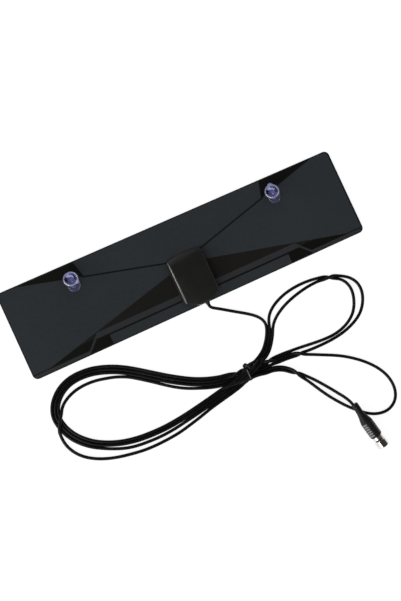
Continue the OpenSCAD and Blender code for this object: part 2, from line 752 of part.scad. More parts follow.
module plug_body() {
    color([0.8, 0.8, 0.82])
    on_plug() rotate_extrude()
        polygon([[insulator_r, shell_back], [shell_r, shell_back], [shell_r, grip_end],
                 [collar_r - 0.3, grip_end],
                 [collar_r, grip_end + 0.3], [collar_r, grip_end + collar_l * collar_groove[0]],
                 [collar_r - collar_groove_depth, grip_end + collar_l * collar_groove[1]],
                 [collar_r - collar_groove_depth, grip_end + collar_l * collar_groove[2]],
                 [collar_r, grip_end + collar_l * collar_groove[3]],
                 [collar_r, collar_end - collar_chamfer], [collar_r - collar_chamfer, collar_end],
                 [neck_r, collar_end], [neck_r, retainer_back], [retainer_r, retainer_back],
                 [retainer_r, retainer_front], [insulator_r, retainer_front]]);
}

module plug_insulator() {
    color([0.93, 0.92, 0.88])
    on_plug() rotate_extrude()
        polygon([[pin_d / 2, shell_back], [insulator_r, shell_back], [insulator_r, retainer_front],
                 [pin_d / 2, retainer_front]]);
}

module centre_pin() {
    reach = nut_front + pin_reach - shell_back;
    color([0.8, 0.6, 0.35])
    on_plug() translate([0, 0, shell_back]) rotate_extrude()
        polygon([[0, 0], [pin_d / 2, 0], [pin_d / 2, reach - pin_point[1]],
                 [pin_d / 2 - pin_point[0], reach], [0, reach]]);
}

module coupling_nut() {
    hex_r = nut_af / 2 / cos(30);
    round_r = hex_r - nut_corner_cut;
    thread_r = nut_thread_d / 2;
    color([0.82, 0.82, 0.84])
    on_plug() difference() {
        intersection() {
            translate([0, 0, nut_back]) rotate(30) cylinder(r = hex_r, h = nut_l, $fn = 6);
            rotate_extrude()
                polygon([[0, nut_back], [round_r - nut_chamfer, nut_back], [round_r, nut_back + nut_chamfer],
                         [round_r, nut_front - nut_chamfer], [round_r - nut_chamfer, nut_front],
                         [0, nut_front]]);
        }
        translate([0, 0, nut_back + nut_wall]) cylinder(r = thread_r, h = nut_l);
        translate([0, 0, nut_back - 1]) cylinder(r = neck_r + run_gap, h = nut_l);
    }
}

back_film();
front_film();
printed_facets();
printed_bands();
foil_element(-1);  // foil_element_left
foil_element(1);  // foil_element_right
feed_eyelet(-1);  // feed_eyelet_left
feed_eyelet(1);  // feed_eyelet_right
housing_cover();
housing_back();
housing_screws();
circuit_board();
board_chips();
ferrite_core();
balun_winding();
cable_tails();
cable_end();
strain_relief();
suction_cup(-1, lean_left, tab_turn_left);  // suction_cup_left
suction_cup(1, lean_right, tab_turn_right);  // suction_cup_right
cord_lead();
cord_coil_left();
cord_coil_right();
cord_loop_end();
cord_plug_run();
cord_tie();
plug_grip();
plug_body();
plug_insulator();
centre_pin();
coupling_nut();
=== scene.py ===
import logging
import math
from dataclasses import dataclass, field
from enum import Enum
from typing import Any

import bpy
import numpy as np
from mathutils import Matrix

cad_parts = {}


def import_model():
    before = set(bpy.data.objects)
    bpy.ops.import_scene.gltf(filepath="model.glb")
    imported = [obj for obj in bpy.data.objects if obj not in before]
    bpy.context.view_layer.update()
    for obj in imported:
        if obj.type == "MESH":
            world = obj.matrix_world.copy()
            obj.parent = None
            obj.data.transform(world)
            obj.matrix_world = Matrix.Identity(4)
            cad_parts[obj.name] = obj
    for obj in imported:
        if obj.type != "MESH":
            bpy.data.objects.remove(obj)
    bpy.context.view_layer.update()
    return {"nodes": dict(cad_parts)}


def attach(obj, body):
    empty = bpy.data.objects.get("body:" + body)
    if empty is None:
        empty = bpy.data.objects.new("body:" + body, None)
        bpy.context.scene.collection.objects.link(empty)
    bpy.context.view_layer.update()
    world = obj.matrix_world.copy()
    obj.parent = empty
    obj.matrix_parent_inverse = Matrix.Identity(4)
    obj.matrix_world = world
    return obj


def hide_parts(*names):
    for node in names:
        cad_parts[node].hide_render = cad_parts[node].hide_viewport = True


MM = 0.001
FULL_TURN = 2.0 * math.pi
log = logging.getLogger("antenna")
Colour = tuple[float, float, float]
Pair = tuple[float, float]
Array = np.ndarray


def srgb(red: int, green: int, blue: int) -> Colour:
    """Turn a screen colour into scene light.

    Args:
        red, green, blue: the screen's levels, 0 to 255.
    Returns:
        Three linear values: (level + 0.055) / 1.055 to the power 2.4, or level / 12.92 in the dark.
    """
    def linear(level: float) -> float:
        """One channel, by the screen's own curve."""
        return level / 12.92 if level <= 0.04045 else ((level + 0.055) / 1.055) ** 2.4

    return linear(red / 255), linear(green / 255), linear(blue / 255)


def smooth(t: Array) -> Array:
    """Ease from 0 to 1: three t squared less two t cubed, with t held between 0 and 1."""
    t = np.clip(t, 0.0, 1.0)
    return t * t * (3.0 - 2.0 * t)


def unit(vectors: Array) -> Array:
    """Divide each vector by its own length."""
    return vectors / np.maximum(np.linalg.norm(vectors, axis=-1, keepdims=True), 1e-12)


def spun(x: Array, y: Array, angle: float) -> tuple[Array, Array]:
    """Turn two coordinates: (x cos a - y sin a, x sin a + y cos a)."""
    c, s = math.cos(angle), math.sin(angle)
    return c * x - s * y, s * x + c * y


def turns(count: int) -> Array:
    """Even angles round a full turn, the first not repeated at the end."""
    return np.linspace(0.0, FULL_TURN, count, endpoint=False)


def rings(radius: Array, angle: Array, height: Array) -> Array:
    """Rows of rings round the Z axis; the point at angle a is (r cos a, r sin a, z)."""
    return np.stack([radius * np.cos(angle), radius * np.sin(angle), height + 0.0 * angle], axis=-1)


# Meshes


def add_object(name: str, data: Any) -> bpy.types.Object:
    """Put a new object into the scene, at the origin.

    Args:
        name: its name.
        data: its mesh, lamp or camera.
    Returns:
        The object.
    """
    made = bpy.data.objects.new(name, data)
    bpy.context.scene.collection.objects.link(made)
    return made


@dataclass
class Skin:
    """A closed surface, gathered from grids before it becomes one mesh."""

    points: list[Array] = field(default_factory=list)
    quads: list[Array] = field(default_factory=list)
    quad_uv: list[Array] = field(default_factory=list)
    triangles: list[Array] = field(default_factory=list)
    triangle_uv: list[Array] = field(default_factory=list)
    count: int = 0

    def add(self, grid: Array, loop_rows: bool = False, tips: tuple[Any, Any] = (None, None),
            shares: "Array | None" = None, turn: float = 0.0) -> "Skin":
        """Add a surface whose rows are closed rings, its faces turned outward.

        Neighbouring rows are joined by quads; each end is closed by a fan round its tip.

        Args:
            grid: rows by columns by 3, in metres.
            loop_rows: True where the last row joins the first, as on a torus.
            tips: the middle points of the two fans; None takes the row's own middle.
            shares: what the map holds for each row; None takes the length along the rows' middles.
            turn: what the map holds for the first column, as a share of a full turn.
        Returns:
            This skin.
        """
        rows, columns = grid.shape[:2]
        base = np.arange(rows * columns).reshape(rows, columns)
        beside = np.roll(base, -1, axis=1)
        upper, upper_beside = (np.roll(a, -1, axis=0) for a in (base, beside))
        last = rows if loop_rows else rows - 1
        quads = np.stack([base, upper, upper_beside, beside], axis=-1)[:last].reshape(-1, 4)
        step = np.linalg.norm(np.diff(grid.mean(axis=1), axis=0), axis=1)
        along = np.concatenate([[0.0], np.cumsum(step)]) if shares is None else shares
        along = np.append(along, along[-1]) if loop_rows else along
        a0, a1 = (np.repeat(along[i:i + last], columns) for i in (0, 1))
        c0 = np.tile(np.arange(columns) / columns + turn, last)
        c1 = c0 + 1.0 / columns
        uv = np.stack([np.stack(p, -1) for p in ((a0, c0), (a1, c0), (a1, c1), (a0, c1))], axis=1)
        points = grid.reshape(-1, 3)
        fans, fan_uv = [np.zeros((0, 3), int)], [np.zeros((0, 3, 2))]
        ends = () if loop_rows else ((0, tips[0], 1), (rows - 1, tips[1], -1))
        for row, tip, way in ends:
            middle = grid[row].mean(axis=0) if tip is None else np.asarray(tip, float)
            centre = np.full(columns, len(points))
            points = np.vstack([points, middle])
            fans.append(np.stack([base[row], beside[row], centre], axis=1)[:, ::way])
            fan_uv.append(np.full((columns, 3, 2), along[row]))
        triangles, triangle_uv = np.concatenate(fans), np.concatenate(fan_uv)
        if self._volume(points, quads, triangles) < 0:
            quads, uv = quads[:, ::-1], uv[:, ::-1]
            triangles, triangle_uv = triangles[:, ::-1], triangle_uv[:, ::-1]
        self.points.append(points)
        self.quads.append(quads + self.count)
        self.quad_uv.append(uv)
        self.triangles.append(triangles + self.count)
        self.triangle_uv.append(triangle_uv)
        self.count += len(points)
        return self

    @staticmethod
    def _volume(points: Array, quads: Array, triangles: Array) -> float:
        """Signed volume: a sixth of the sum of a . (b x c) over all triangles.

        Args:
            points: the surface's points.
            quads, triangles: its faces, as places in the points.
        Returns:
            The volume, below 0 where the faces look inward.
        """
        three = np.concatenate([quads[:, [0, 1, 2]], quads[:, [0, 2, 3]], triangles])
        a, b, c = (points[three[:, i]] for i in range(3))
        return float(np.einsum("ij,ij->i", a, np.cross(b, c)).sum() / 6.0)

    def build(self, name: str) -> bpy.types.Object:
        """Make one smooth object of all that was added.

        Args:
            name: the piece's name.
        Returns:
            The new object, at the origin.
        """
        mesh = bpy.data.meshes.new(name)
        faces = np.concatenate(self.quads).tolist() + np.concatenate(self.triangles).tolist()
        mesh.from_pydata(np.concatenate(self.points).tolist(), [], faces)
        layer = mesh.uv_layers.new(name="UVMap")
        uv = np.concatenate([np.concatenate(self.quad_uv).reshape(-1, 2),
                             np.concatenate(self.triangle_uv).reshape(-1, 2)])
        layer.data.foreach_set("uv", uv.astype(np.float32).ravel())
        mesh.polygons.foreach_set("use_smooth", np.ones(len(faces), bool))
        mesh.validate(verbose=False)
        mesh.update()
        return add_object(name, mesh)


def rounded(profile: list[Pair], radius: float, steps: int = 4) -> Array:
    """Round the inner corners of a profile with short arcs.

    Each corner is replaced by a quadratic curve from a point before it to one after it:
    (1 - t) squared times the first, plus 2 t (1 - t) times the corner, plus t squared times the
    last.

    Args:
        profile: the corner points, first and last kept as they are.
        radius: how far the curve starts from its corner, at most 0.45 of the shorter side.
        steps: points in each arc, less one.
    Returns:
        The smoother profile, rows of two values.
    """
    p = np.array(profile, float)
    before, corner, after = p[:-2], p[1:-1], p[2:]
    back, ahead = before - corner, after - corner
    lengths = np.stack([np.linalg.norm(back, axis=1), np.linalg.norm(ahead, axis=1)], axis=1)
    reach = np.minimum(radius, 0.45 * lengths.min(axis=1))[:, None]
    a, b = corner + unit(back) * reach, corner + unit(ahead) * reach
    t = np.linspace(0.0, 1.0, steps + 1)[None, :, None]
    arcs = (1 - t) ** 2 * a[:, None] + 2 * t * (1 - t) * corner[:, None] + t ** 2 * b[:, None]
    return np.concatenate([p[:1], arcs.reshape(-1, 2), p[-1:]])


def sweep(path: Array, section: Array) -> Array:
    """Carry a closed section along a path.

    The section's first value goes along u, level and square to the path, and its second along
    v = t x u, with t the path's direction.

    Args:
        path: points in metres.
        section: rows of two values in metres, or one such list for each point of the path.
    Returns:
        A grid, points by section by 3.
    """
    t = unit(np.gradient(path, axis=0))
    u = unit(np.cross(np.array([0.0, 0.0, 1.0]), t))
    v = np.cross(t, u)
    section = np.broadcast_to(section, (len(path), section.shape[-2], 2))
    return path[:, None] + section[..., 0:1] * u[:, None] + section[..., 1:2] * v[:, None]


def catmull(points: Array, step: float, span: int = 16) -> Array:
    """Draw a smooth curve through points and space it evenly.

    A centripetal Catmull-Rom curve: the knots lie a square root of their distance apart, and each
    span is the usual pyramid of six linear blends.

    Args:
        points: the points to pass through.
        step: wanted distance between the results.
        span: points worked out between two given ones.
    Returns:
        Evenly spaced points.
    """
    q = np.vstack([2 * points[0] - points[1], points, 2 * points[-1] - points[-2]])
    gaps = np.linalg.norm(np.diff(q, axis=0), axis=1) ** 0.5
    knots = np.concatenate([[0.0], np.cumsum(gaps)])
    p = [q[i:len(q) - 3 + i, None] for i in range(4)]
    k = [knots[i:len(q) - 3 + i, None, None] for i in range(4)]
    u = k[1] + (k[2] - k[1]) * np.linspace(0.0, 1.0, span, endpoint=False)[None, :, None]

    def blend(a: Array, b: Array, low: Array, high: Array) -> Array:
        """Linear blend of a and b, as u goes from low to high."""
        return ((high - u) * a + (u - low) * b) / (high - low)

    first = [blend(p[i], p[i + 1], k[i], k[i + 1]) for i in range(3)]
    second = [blend(first[i], first[i + 1], k[i], k[i + 2]) for i in range(2)]
    curve = np.vstack([blend(second[0], second[1], k[1], k[2]).reshape(-1, 3), points[-1:]])
    length = np.concatenate([[0.0], np.cumsum(np.linalg.norm(np.diff(curve, axis=0), axis=1))])
    at = np.linspace(0.0, length[-1], int(round(length[-1] / step)) + 1)
    return np.stack([np.interp(at, length, curve[:, c]) for c in range(3)], axis=1)


# Materials


class Value:
    """A number that changes over a surface. Its operators add the Math nodes."""

    def __init__(self, bench: "Bench", socket: bpy.types.NodeSocket) -> None:
        """Keep the bench and the socket that the number comes from."""
        self.bench = bench
        self.socket = socket

    def math(self, operation: str, *others: "Value | float") -> "Value":
        """Add one Math node.

        Args:
            operation: the node's operation.
            others: its further inputs.
        Returns:
            The node's result.
        """
        inputs = dict(enumerate((self, *others)))
        return self.bench.value("ShaderNodeMath", {"operation": operation}, inputs)

    def _swapped(self, operation: str, other: float) -> "Value":
        """The same with the other number first."""
        return self.bench.value("ShaderNodeMath", {"operation": operation}, {0: other, 1: self})

    def __add__(self, other: "Value | float") -> "Value":
        """Sum."""
        return self.math("ADD", other)

    __radd__ = __add__

    def __sub__(self, other: "Value | float") -> "Value":
        """Difference."""
        return self.math("SUBTRACT", other)

    def __rsub__(self, other: float) -> "Value":
        """Difference, from a plain number."""
        return self._swapped("SUBTRACT", other)

    def __mul__(self, other: "Value | float") -> "Value":
        """Product."""
        return self.math("MULTIPLY", other)

    __rmul__ = __mul__

    def __truediv__(self, other: "Value | float") -> "Value":
        """Quotient."""
        return self.math("DIVIDE", other)

    def __rtruediv__(self, other: float) -> "Value":
        """Quotient of a plain number."""
        return self._swapped("DIVIDE", other)

    def ease(self, low: float, high: float) -> "Value":
        """Smooth step.

        Args:
            low: where it is 0.
            high: where it is 1, which may be below low.
        Returns:
            The step's height.
        """
        if low > high:
            return 1.0 - self.ease(high, low)
        settings = {"interpolation_type": "SMOOTHSTEP"}
        return self.bench.value("ShaderNodeMapRange", settings,
                                {"Value": self, "From Min": low, "From Max": high})

    def within(self, low: float, high: float, soft: float) -> "Value":
        """1 between low and high; each side falls to 0 over twice the soft width."""
        return self.ease(low - soft, low + soft) * self.ease(high + soft, high - soft)


class Bench:
    """The place where one material's nodes are put together."""

    def __init__(self, name: str, tree: "bpy.types.NodeTree | None" = None) -> None:
        """Start an empty material, or empty a tree that exists already.

        Args:
            name: the material's name.
            tree: the tree of the world or None.
        """
        self.material = None
        if tree is None:
            self.material = bpy.data.materials.new(name)
            self.material.use_nodes = True
            tree = self.material.node_tree
        tree.nodes.clear()
        self.tree = tree

    def node(self, kind: str, settings: "dict[str, Any] | None" = None,
             inputs: "dict[Any, Any] | None" = None) -> bpy.types.Node:
        """Add any node.

        Args:
            kind: its type.
            settings: its own properties, set first.
            inputs: its sockets by name or number, each a number, a colour, a Value or a socket.
        Returns:
            The node.
        """
        made = self.tree.nodes.new(kind)
        for key, setting in (settings or {}).items():
            setattr(made, key, setting)
        for key, given in (inputs or {}).items():
            socket = made.inputs[key]
            if isinstance(given, Value):
                self.tree.links.new(given.socket, socket)
            elif isinstance(given, bpy.types.NodeSocket):
                self.tree.links.new(given, socket)
            elif socket.type == "RGBA" and len(given) == 3:
                socket.default_value = (*given, 1.0)
            else:
                socket.default_value = given
        return made

    def value(self, kind: str, settings: dict[str, Any], inputs: dict[Any, Any]) -> Value:
        """Add a node, given as for node(), and take its first result."""
        return Value(self, self.node(kind, settings, inputs).outputs[0])

    def place(self, scale: Colour = (1.0, 1.0, 1.0), turn: float = 0.0,
              source: str = "Object") -> bpy.types.NodeSocket:
        """Where the surface point is, turned about Z and scaled.

        Args:
            scale: factors along the three axes.
            turn: turn about Z, in radians.
            source: "Object" or "UV".
        Returns:
            The vector socket.
        """
        where = self.node("ShaderNodeTexCoord").outputs[source]
        return self.node("ShaderNodeMapping", {"vector_type": "POINT"},
                         {"Vector": where, "Rotation": (0, 0, turn), "Scale": scale}).outputs[0]

    def axes(self, source: str = "Object") -> tuple[Value, Value, Value]:
        """The three parts of the surface point, each as a number."""
        split = self.node("ShaderNodeSeparateXYZ", None, {0: self.place(source=source)})
        return tuple(Value(self, out) for out in split.outputs)

    def noise(self, size: float, detail: float = 3.0, roughness: float = 0.5,
              vector: "bpy.types.NodeSocket | None" = None) -> Value:
        """Cloudy noise.

        Args:
            size: width of its clouds, in the vector's units.
            detail: octaves.
            roughness: strength of the finer ones.
            vector: where it is read; None takes Object coordinates.
        Returns:
            A number round 0.5.
        """
        inputs = {"Vector": vector or self.place(), "Scale": 1.0 / size, "Detail": detail,
                  "Roughness": roughness}
        return self.value("ShaderNodeTexNoise", {}, inputs)

    def mix(self, factor: "Value | float", first: Any, second: Any) -> bpy.types.NodeSocket:
        """Blend two colours.

        Args:
            factor: 0 for the first, 1 for the second.
            first, second: colours or colour sockets.
        Returns:
            The blended colour's socket.
        """
        made = self.node("ShaderNodeMix", {"data_type": "RGBA"}, {0: factor, 6: first, 7: second})
        return made.outputs[2]

    def bump(self, height: Value, distance: float, strength: float = 1.0,
             normal: "bpy.types.NodeSocket | None" = None) -> bpy.types.NodeSocket:
        """Raise the surface by a height map.

        Args:
            height: from 0 to 1.
            distance: metres for a height of 1.
            strength: how much of it shows.
            normal: a bump that lies under this one.
        Returns:
            The normal's socket.
        """
        inputs: dict[Any, Any] = {"Height": height, "Distance": distance, "Strength": strength}
        if normal is not None:
            inputs["Normal"] = normal
        return self.node("ShaderNodeBump", None, inputs).outputs[0]

    def mixed(self, factor: Value, first: bpy.types.Node, second: bpy.types.Node) -> bpy.types.Node:
        """Blend two shaders, 0 for the first and 1 for the second."""
        return self.node("ShaderNodeMixShader", None,
                         {0: factor, 1: first.outputs[0], 2: second.outputs[0]})

    def close(self, shader: bpy.types.Node,
              kind: str = "Material") -> "bpy.types.Material | None":
        """Send a shader to the output and give back the material, or None for the world."""
        self.node(f"ShaderNodeOutput{kind}", None, {0: shader.outputs[0]})
        return self.material

    def principled(self, **inputs: Any) -> bpy.types.Node:
        """A Principled shader; its sockets are named with _ for a blank."""
        named = {key.replace("_", " ").replace("Ior", "IOR"): inputs[key] for key in inputs}
        return self.node("ShaderNodeBsdfPrincipled", None, named)

    def done(self, **inputs: Any) -> bpy.types.Material:
        """Close the material with one Principled shader."""
        return self.close(self.principled(**inputs))


@dataclass(frozen=True)
class Finish:
    """What the moulded, printed and metal finishes share."""

    name: str
    colour: Colour

    def painted_light(self, b: Bench, tone: bpy.types.NodeSocket,
             rough: Value) -> tuple[bpy.types.NodeSocket, Value]:
        """Colour and roughness with painted light or shade; a plain one leaves them as they are.

        Args:
            b: the material's bench.
            tone: its colour so far.
            rough: its roughness so far.
        Returns:
            The colour and the roughness with the painted light or shade.
        """
        return tone, rough


@dataclass(frozen=True)
class Moulding(Finish):
    """Spark-eroded moulded plastic: fine grain, slight sheen, rubbed a little in places."""

    rough: float = 0.5
    grain: float = 0.00025
    depth: float = 0.00002
    shine: float = 0.35
    cloud: float = 0.018
    pale: Pair = (1.35, 0.002)

    def material(self) -> bpy.types.Material:
        """Grain noise for the bump, broad clouds for colour and gloss.

        Returns:
            The material.
        """
        b = Bench(self.name)
        broad, fine = b.noise(self.cloud, 2.0), b.noise(self.grain, 2.0, 0.6)
        factor, more = self.pale
        paler = tuple(min(1.0, c * factor + more) for c in self.colour)
        tone = b.mix(broad.ease(0.35, 0.75) * 0.6, self.colour, paler)
        tone, rough = self.painted_light(b, tone, broad * 0.14 + fine * 0.06 + (self.rough - 0.1))
        return b.done(Base_Color=tone, Roughness=rough, Specular_Ior_Level=self.shine,
                      Normal=b.bump(fine, self.depth))


@dataclass(frozen=True)
class PaintedEdgeHighlight(Moulding):
    """The same plastic, smoother along its left edge, where a pale strip of painted highlight lies
    on the bevel.
    """

    pale: Pair = (1.25, 0.001)
    edge: Pair = (-0.01715, -0.0167)
    face: Pair = (0.0062, 0.0068)
    painted_highlight: Colour = srgb(132, 130, 123)

    def painted_light(self, b: Bench, tone: bpy.types.NodeSocket,
             rough: Value) -> tuple[bpy.types.NodeSocket, Value]:
        """Painted highlight: paler between the edge's two places, on the face only.

        Args:
            b, tone, rough: as in the plain finish.
        Returns:
            The colour and the roughness with the strip of painted highlight.
        """
        x, _, z = b.axes()
        # Painted highlight: a pale strip on the left bevel, where the lamp's reflection falls.
        edge = x.within(*self.edge, 0.0001)
        return (b.mix(edge * z.ease(*self.face) * 0.8, tone, self.painted_highlight),
                rough * (1.0 - edge * 0.5))


@dataclass(frozen=True)
class TieVinyl(Moulding):
    """The tie's vinyl, with a pale line of painted highlight where its wire lifts it."""

    middle: float = 0.009
    wire: Pair = (0.0005, 0.00025)
    above: Pair = (0.005, 0.0055)
    ends: tuple[Pair, Pair] = ((-0.1255, -0.122), (-0.1135, -0.1155))
    painted_highlight: Colour = srgb(118, 118, 114)

    def material(self) -> bpy.types.Material:
        """A pale line of painted highlight over the wire, above the loops only, broken up by noise.

        Returns:
            The material.
        """
        b = Bench(self.name)
        x, y, z = b.axes()
        fine = b.noise(self.grain, 2.0, 0.6)
        # Painted highlight: a pale line along the wire's ridge, above the loops.
        over = (x - self.middle).math("ABSOLUTE").ease(*self.wire) * z.ease(*self.above)
        low, high = self.ends
        line = over * y.ease(*low) * y.ease(*high) * (b.noise(0.004) * 0.6 + 0.5)
        return b.done(Base_Color=b.mix(line, self.colour, self.painted_highlight),
                      Roughness=fine * 0.1 + (self.rough - 0.05), Specular_Ior_Level=self.shine,
                      Normal=b.bump(fine, self.depth))


@dataclass(frozen=True)
class PrintedFilm(Finish):
    """Polyester film with matt ink: a very fine orange peel and a few rub marks."""

    other: Colour
    rough: float = 0.42
    shine: float = 0.3
    pales: Pair = (-0.17, 0.17)
    painted_edge_shade: Colour = srgb(11, 12, 13)
    square: tuple[float, float, float] = (0.165, 0.0375, 0.005)
    edge_shade_reach: Pair = (-0.0013, -0.0008)
    right_end: Pair = (0.16, 0.165)
    wider: float = 0.0008

    def material(self) -> bpy.types.Material:
        """Ink that pales to the right in clouds of two sizes, a fine peel, faint rubs in gloss.

        Returns:
            The material.
        """
        b = Bench(self.name)
        drift = b.noise(0.07, 2.0)
        peel = b.noise(0.0009, 2.0, 0.55)
        fibres = b.noise(0.0035, 3.0, 0.6, b.place(scale=(0.18, 1.0, 1.0), turn=0.4))
        blotch = b.noise(0.0032, 3.0, 0.6)
        faded = b.axes()[0].ease(*self.pales)
        tone = (drift.ease(0.3, 0.7) * 0.2 + fibres * 0.1 + blotch.ease(0.3, 0.7) * 0.3
                + faded * 0.4)
        colour, painted_rim = self.ink(b, b.mix(tone, self.colour, self.other)), self.painted_rim(b)
        # Painted shade: the film is darkened along the panel's rounded edge, more at the right end.
        return b.done(Base_Color=b.mix(painted_rim, colour, self.painted_edge_shade),
                      Roughness=fibres * 0.16 + painted_rim * 0.5 + (self.rough - 0.08),
                      Specular_Ior_Level=self.shine,
                      Normal=b.bump(peel, 0.000012, 1.0, b.bump(drift, 0.0004, 0.35)))

    def painted_rim(self, b: Bench) -> Value:
        """1 along the panel's edge, where shade is painted; the band is wider at its right end.

        The distance from the border is the root of the sum of the squares of what each coordinate
        has beyond the square that the corners' middles span, less the corner's radius.

        Args:
            b: the material's bench.
        Returns:
            The share of the painted edge shade.
        """
        x, y, _ = b.axes()
        long_half, wide_half, corner = self.square
        end = x.ease(*self.right_end) * self.wider
        beyond_x = (x.math("ABSOLUTE") + end - long_half).math("MAXIMUM", 0.0)
        beyond_y = (y.math("ABSOLUTE") - wide_half).math("MAXIMUM", 0.0)
        reach = (beyond_x * beyond_x + beyond_y * beyond_y).math("SQRT") - corner
        return reach.ease(*self.edge_shade_reach) * 0.85

    def ink(self, b: Bench, tone: bpy.types.NodeSocket) -> bpy.types.NodeSocket:
        """The ink's colour; a plain film leaves it as it is."""
        return tone


@dataclass(frozen=True)
class LinedFilm(PrintedFilm):
    """The field's film, where the dark ink of the thin lines has spread a little to both sides."""

    line: Colour = srgb(9, 14, 17)
    ray: tuple[float, float, float] = (0.014, 0.005, 0.2645)
    ray_end: float = 0.0925
    low: float = -0.0321
    low_end: float = 0.093
    spread: Pair = (0.00095, 0.00055)
    fade: float = 0.0005

    def ink(self, b: Bench, tone: bpy.types.NodeSocket) -> bpy.types.NodeSocket:
        """Darken the field near the two rays and the line under the band.

        A ray's height is its start's plus its slope times the distance from that start; the ink
        ends softly at the spread's distance from the line's middle.

        Args:
            b: the material's bench.
            tone: the field's colour.
        Returns:
            The colour with its lines.
        """
        x, y, _ = b.axes()
        across = x.math("ABSOLUTE")
        start, height, slope = self.ray

        def line(off: Value, end: float) -> Value:
            """1 on a line, given the distance from its middle and where it ends."""
            return off.math("ABSOLUTE").ease(*self.spread) * across.ease(end + self.fade, end)

        lines = (line(y - height - (across - start) * slope, self.ray_end)
                 + line(y - self.low, self.low_end))
        return b.mix(lines.math("MINIMUM", 1.0), tone, self.line)


@dataclass(frozen=True)
class FacetInk(PrintedFilm):
    """The dark facets' ink: warm black in the wedges, deeper in the corners and the thin lines."""

    deep: Colour = srgb(9, 10, 8)
    upper: Pair = (-0.006, 0.004)
    lower: Pair = (-0.0300, -0.0308)

    def ink(self, b: Bench, tone: bpy.types.NodeSocket) -> bpy.types.NodeSocket:
        """Deeper above the panel's middle and below the band."""
        _, y, _ = b.axes()
        return b.mix((y.ease(*self.upper) + y.ease(*self.lower)) * 0.85, tone, self.deep)


@dataclass(frozen=True)
class Metal(Finish):
    """Bare metal: fine marks in its gloss, tarnished in places."""

    dark: Colour
    rough: float = 0.2
    mark: float = 0.0012

    def material(self) -> bpy.types.Material:
        """Fine marks for gloss and bump, tarnish in broad clouds.

        Returns:
            The material.
        """
        b = Bench(self.name)
        marks = b.noise(self.mark, 4.0, 0.7)
        tarnish = b.noise(0.004, 3.0).ease(0.45, 0.75)
        tone = b.mix(tarnish * 0.5, self.colour, self.dark)
        tone, rough = self.painted_light(b, tone, marks * 0.16 + tarnish * 0.08 + (self.rough - 0.08))
        return b.done(Base_Color=tone, Metallic=1.0, Roughness=rough,
                      Normal=b.bump(marks, 0.000008))


@dataclass(frozen=True)
class Plated(Metal):
    """Plated metal whose map holds the distance along the plug, with painted shade in the gap
    behind the nut.
    """

    gap: Pair = (41.8, 43.15)
    gap_shade: Colour = (0.02, 0.018, 0.015)

    def painted_light(self, b: Bench, tone: bpy.types.NodeSocket,
             rough: Value) -> tuple[bpy.types.NodeSocket, Value]:
        """Painted shade that fills the gap."""
        # Painted shade: the gap between collar and nut is darkened.
        gap_shaded = b.axes("UV")[0].within(*self.gap, 0.1)
        return b.mix(gap_shaded * 0.92, tone, self.gap_shade), rough + gap_shaded * 0.3


@dataclass(frozen=True)
class RibbedVinyl:
    """Matt moulded vinyl with coated ribs: a painted sheen on their crests and a pale painted
    highlight on the left flank.
    """

    name: str = "grip_vinyl"
    colour: Colour = srgb(17, 17, 18)
    crest_sheen: Colour = srgb(32, 32, 33)
    # The pale colour is that of the painted highlight on the left flank.
    pale: Colour = srgb(122, 122, 124)
    ribs: Pair = (0.0226, 0.0364)
    first: float = 0.02495
    pitch: float = 0.0024
    crest: tuple[float, float, float] = (0.175, 0.825, 0.075)
    painted_highlight: Pair = (0.35, 0.47)

    def material(self) -> bpy.types.Material:
        """A clear coat on each rib, a painted sheen on its crest, and a pale painted highlight on
        the left flank.

        On a rib the share of the pitch since the last groove lies within the crest.

        Returns:
            The material.
        """
        b = Bench(self.name)
        along, turn, _ = b.axes("UV")
        broad, fine = b.noise(0.012, 2.0), b.noise(0.0003, 2.0, 0.6)
        share = ((along - self.first) / self.pitch).math("FRACT")
        low, high = self.ribs
        rib = share.within(*self.crest) * along.within(low - 0.0002, high + 0.0002, 0.0002)
        low, high = self.painted_highlight
        # Painted highlight: the crests on the left flank are paled where the lamp's glints fall.
        painted_highlight = rib * turn.within(low + 0.01, high - 0.01, 0.01) * (broad * 0.5 + 0.4)
        # Painted sheen: every crest a little lighter.
        colour = b.mix(rib * 0.5, self.colour, self.crest_sheen)
        return b.done(Base_Color=b.mix(painted_highlight.math("MINIMUM", 1.0), colour, self.pale),
                      Roughness=broad * 0.1 + fine * 0.1 + 0.45 - rib * 0.15,
                      Specular_Ior_Level=0.25, Coat_Weight=rib * (0.6 + broad * 0.4),
                      Coat_Roughness=0.2, Normal=b.bump(fine, 0.00002))


@dataclass(frozen=True)
class Jacket:
    """Soft black cable sheath: satin, with fine drawn lines along it and a little dust."""

    name: str = "cable_jacket"
    colour: Colour = srgb(7, 7, 8)
    dusty: Colour = srgb(40, 40, 43)
    rough: float = 0.5

    def material(self) -> bpy.types.Material:
        """Lines that run along the cable come from its own map; the dust lies in object space.

        Returns:
            The material.
        """
        b = Bench(self.name)
        drawn = b.noise(0.5, 3.0, 0.6, b.place(scale=(30.0, 9.0, 1.0), source="UV"))
        dust = b.noise(0.03, 3.0, 0.55).ease(0.45, 0.8)
        return b.done(Base_Color=b.mix(dust * 0.25, self.colour, self.dusty),
                      Roughness=drawn * 0.08 + dust * 0.08 + (self.rough - 0.04),
                      Specular_Ior_Level=0.22,
                      Normal=b.bump(drawn, 0.000003, 0.6))


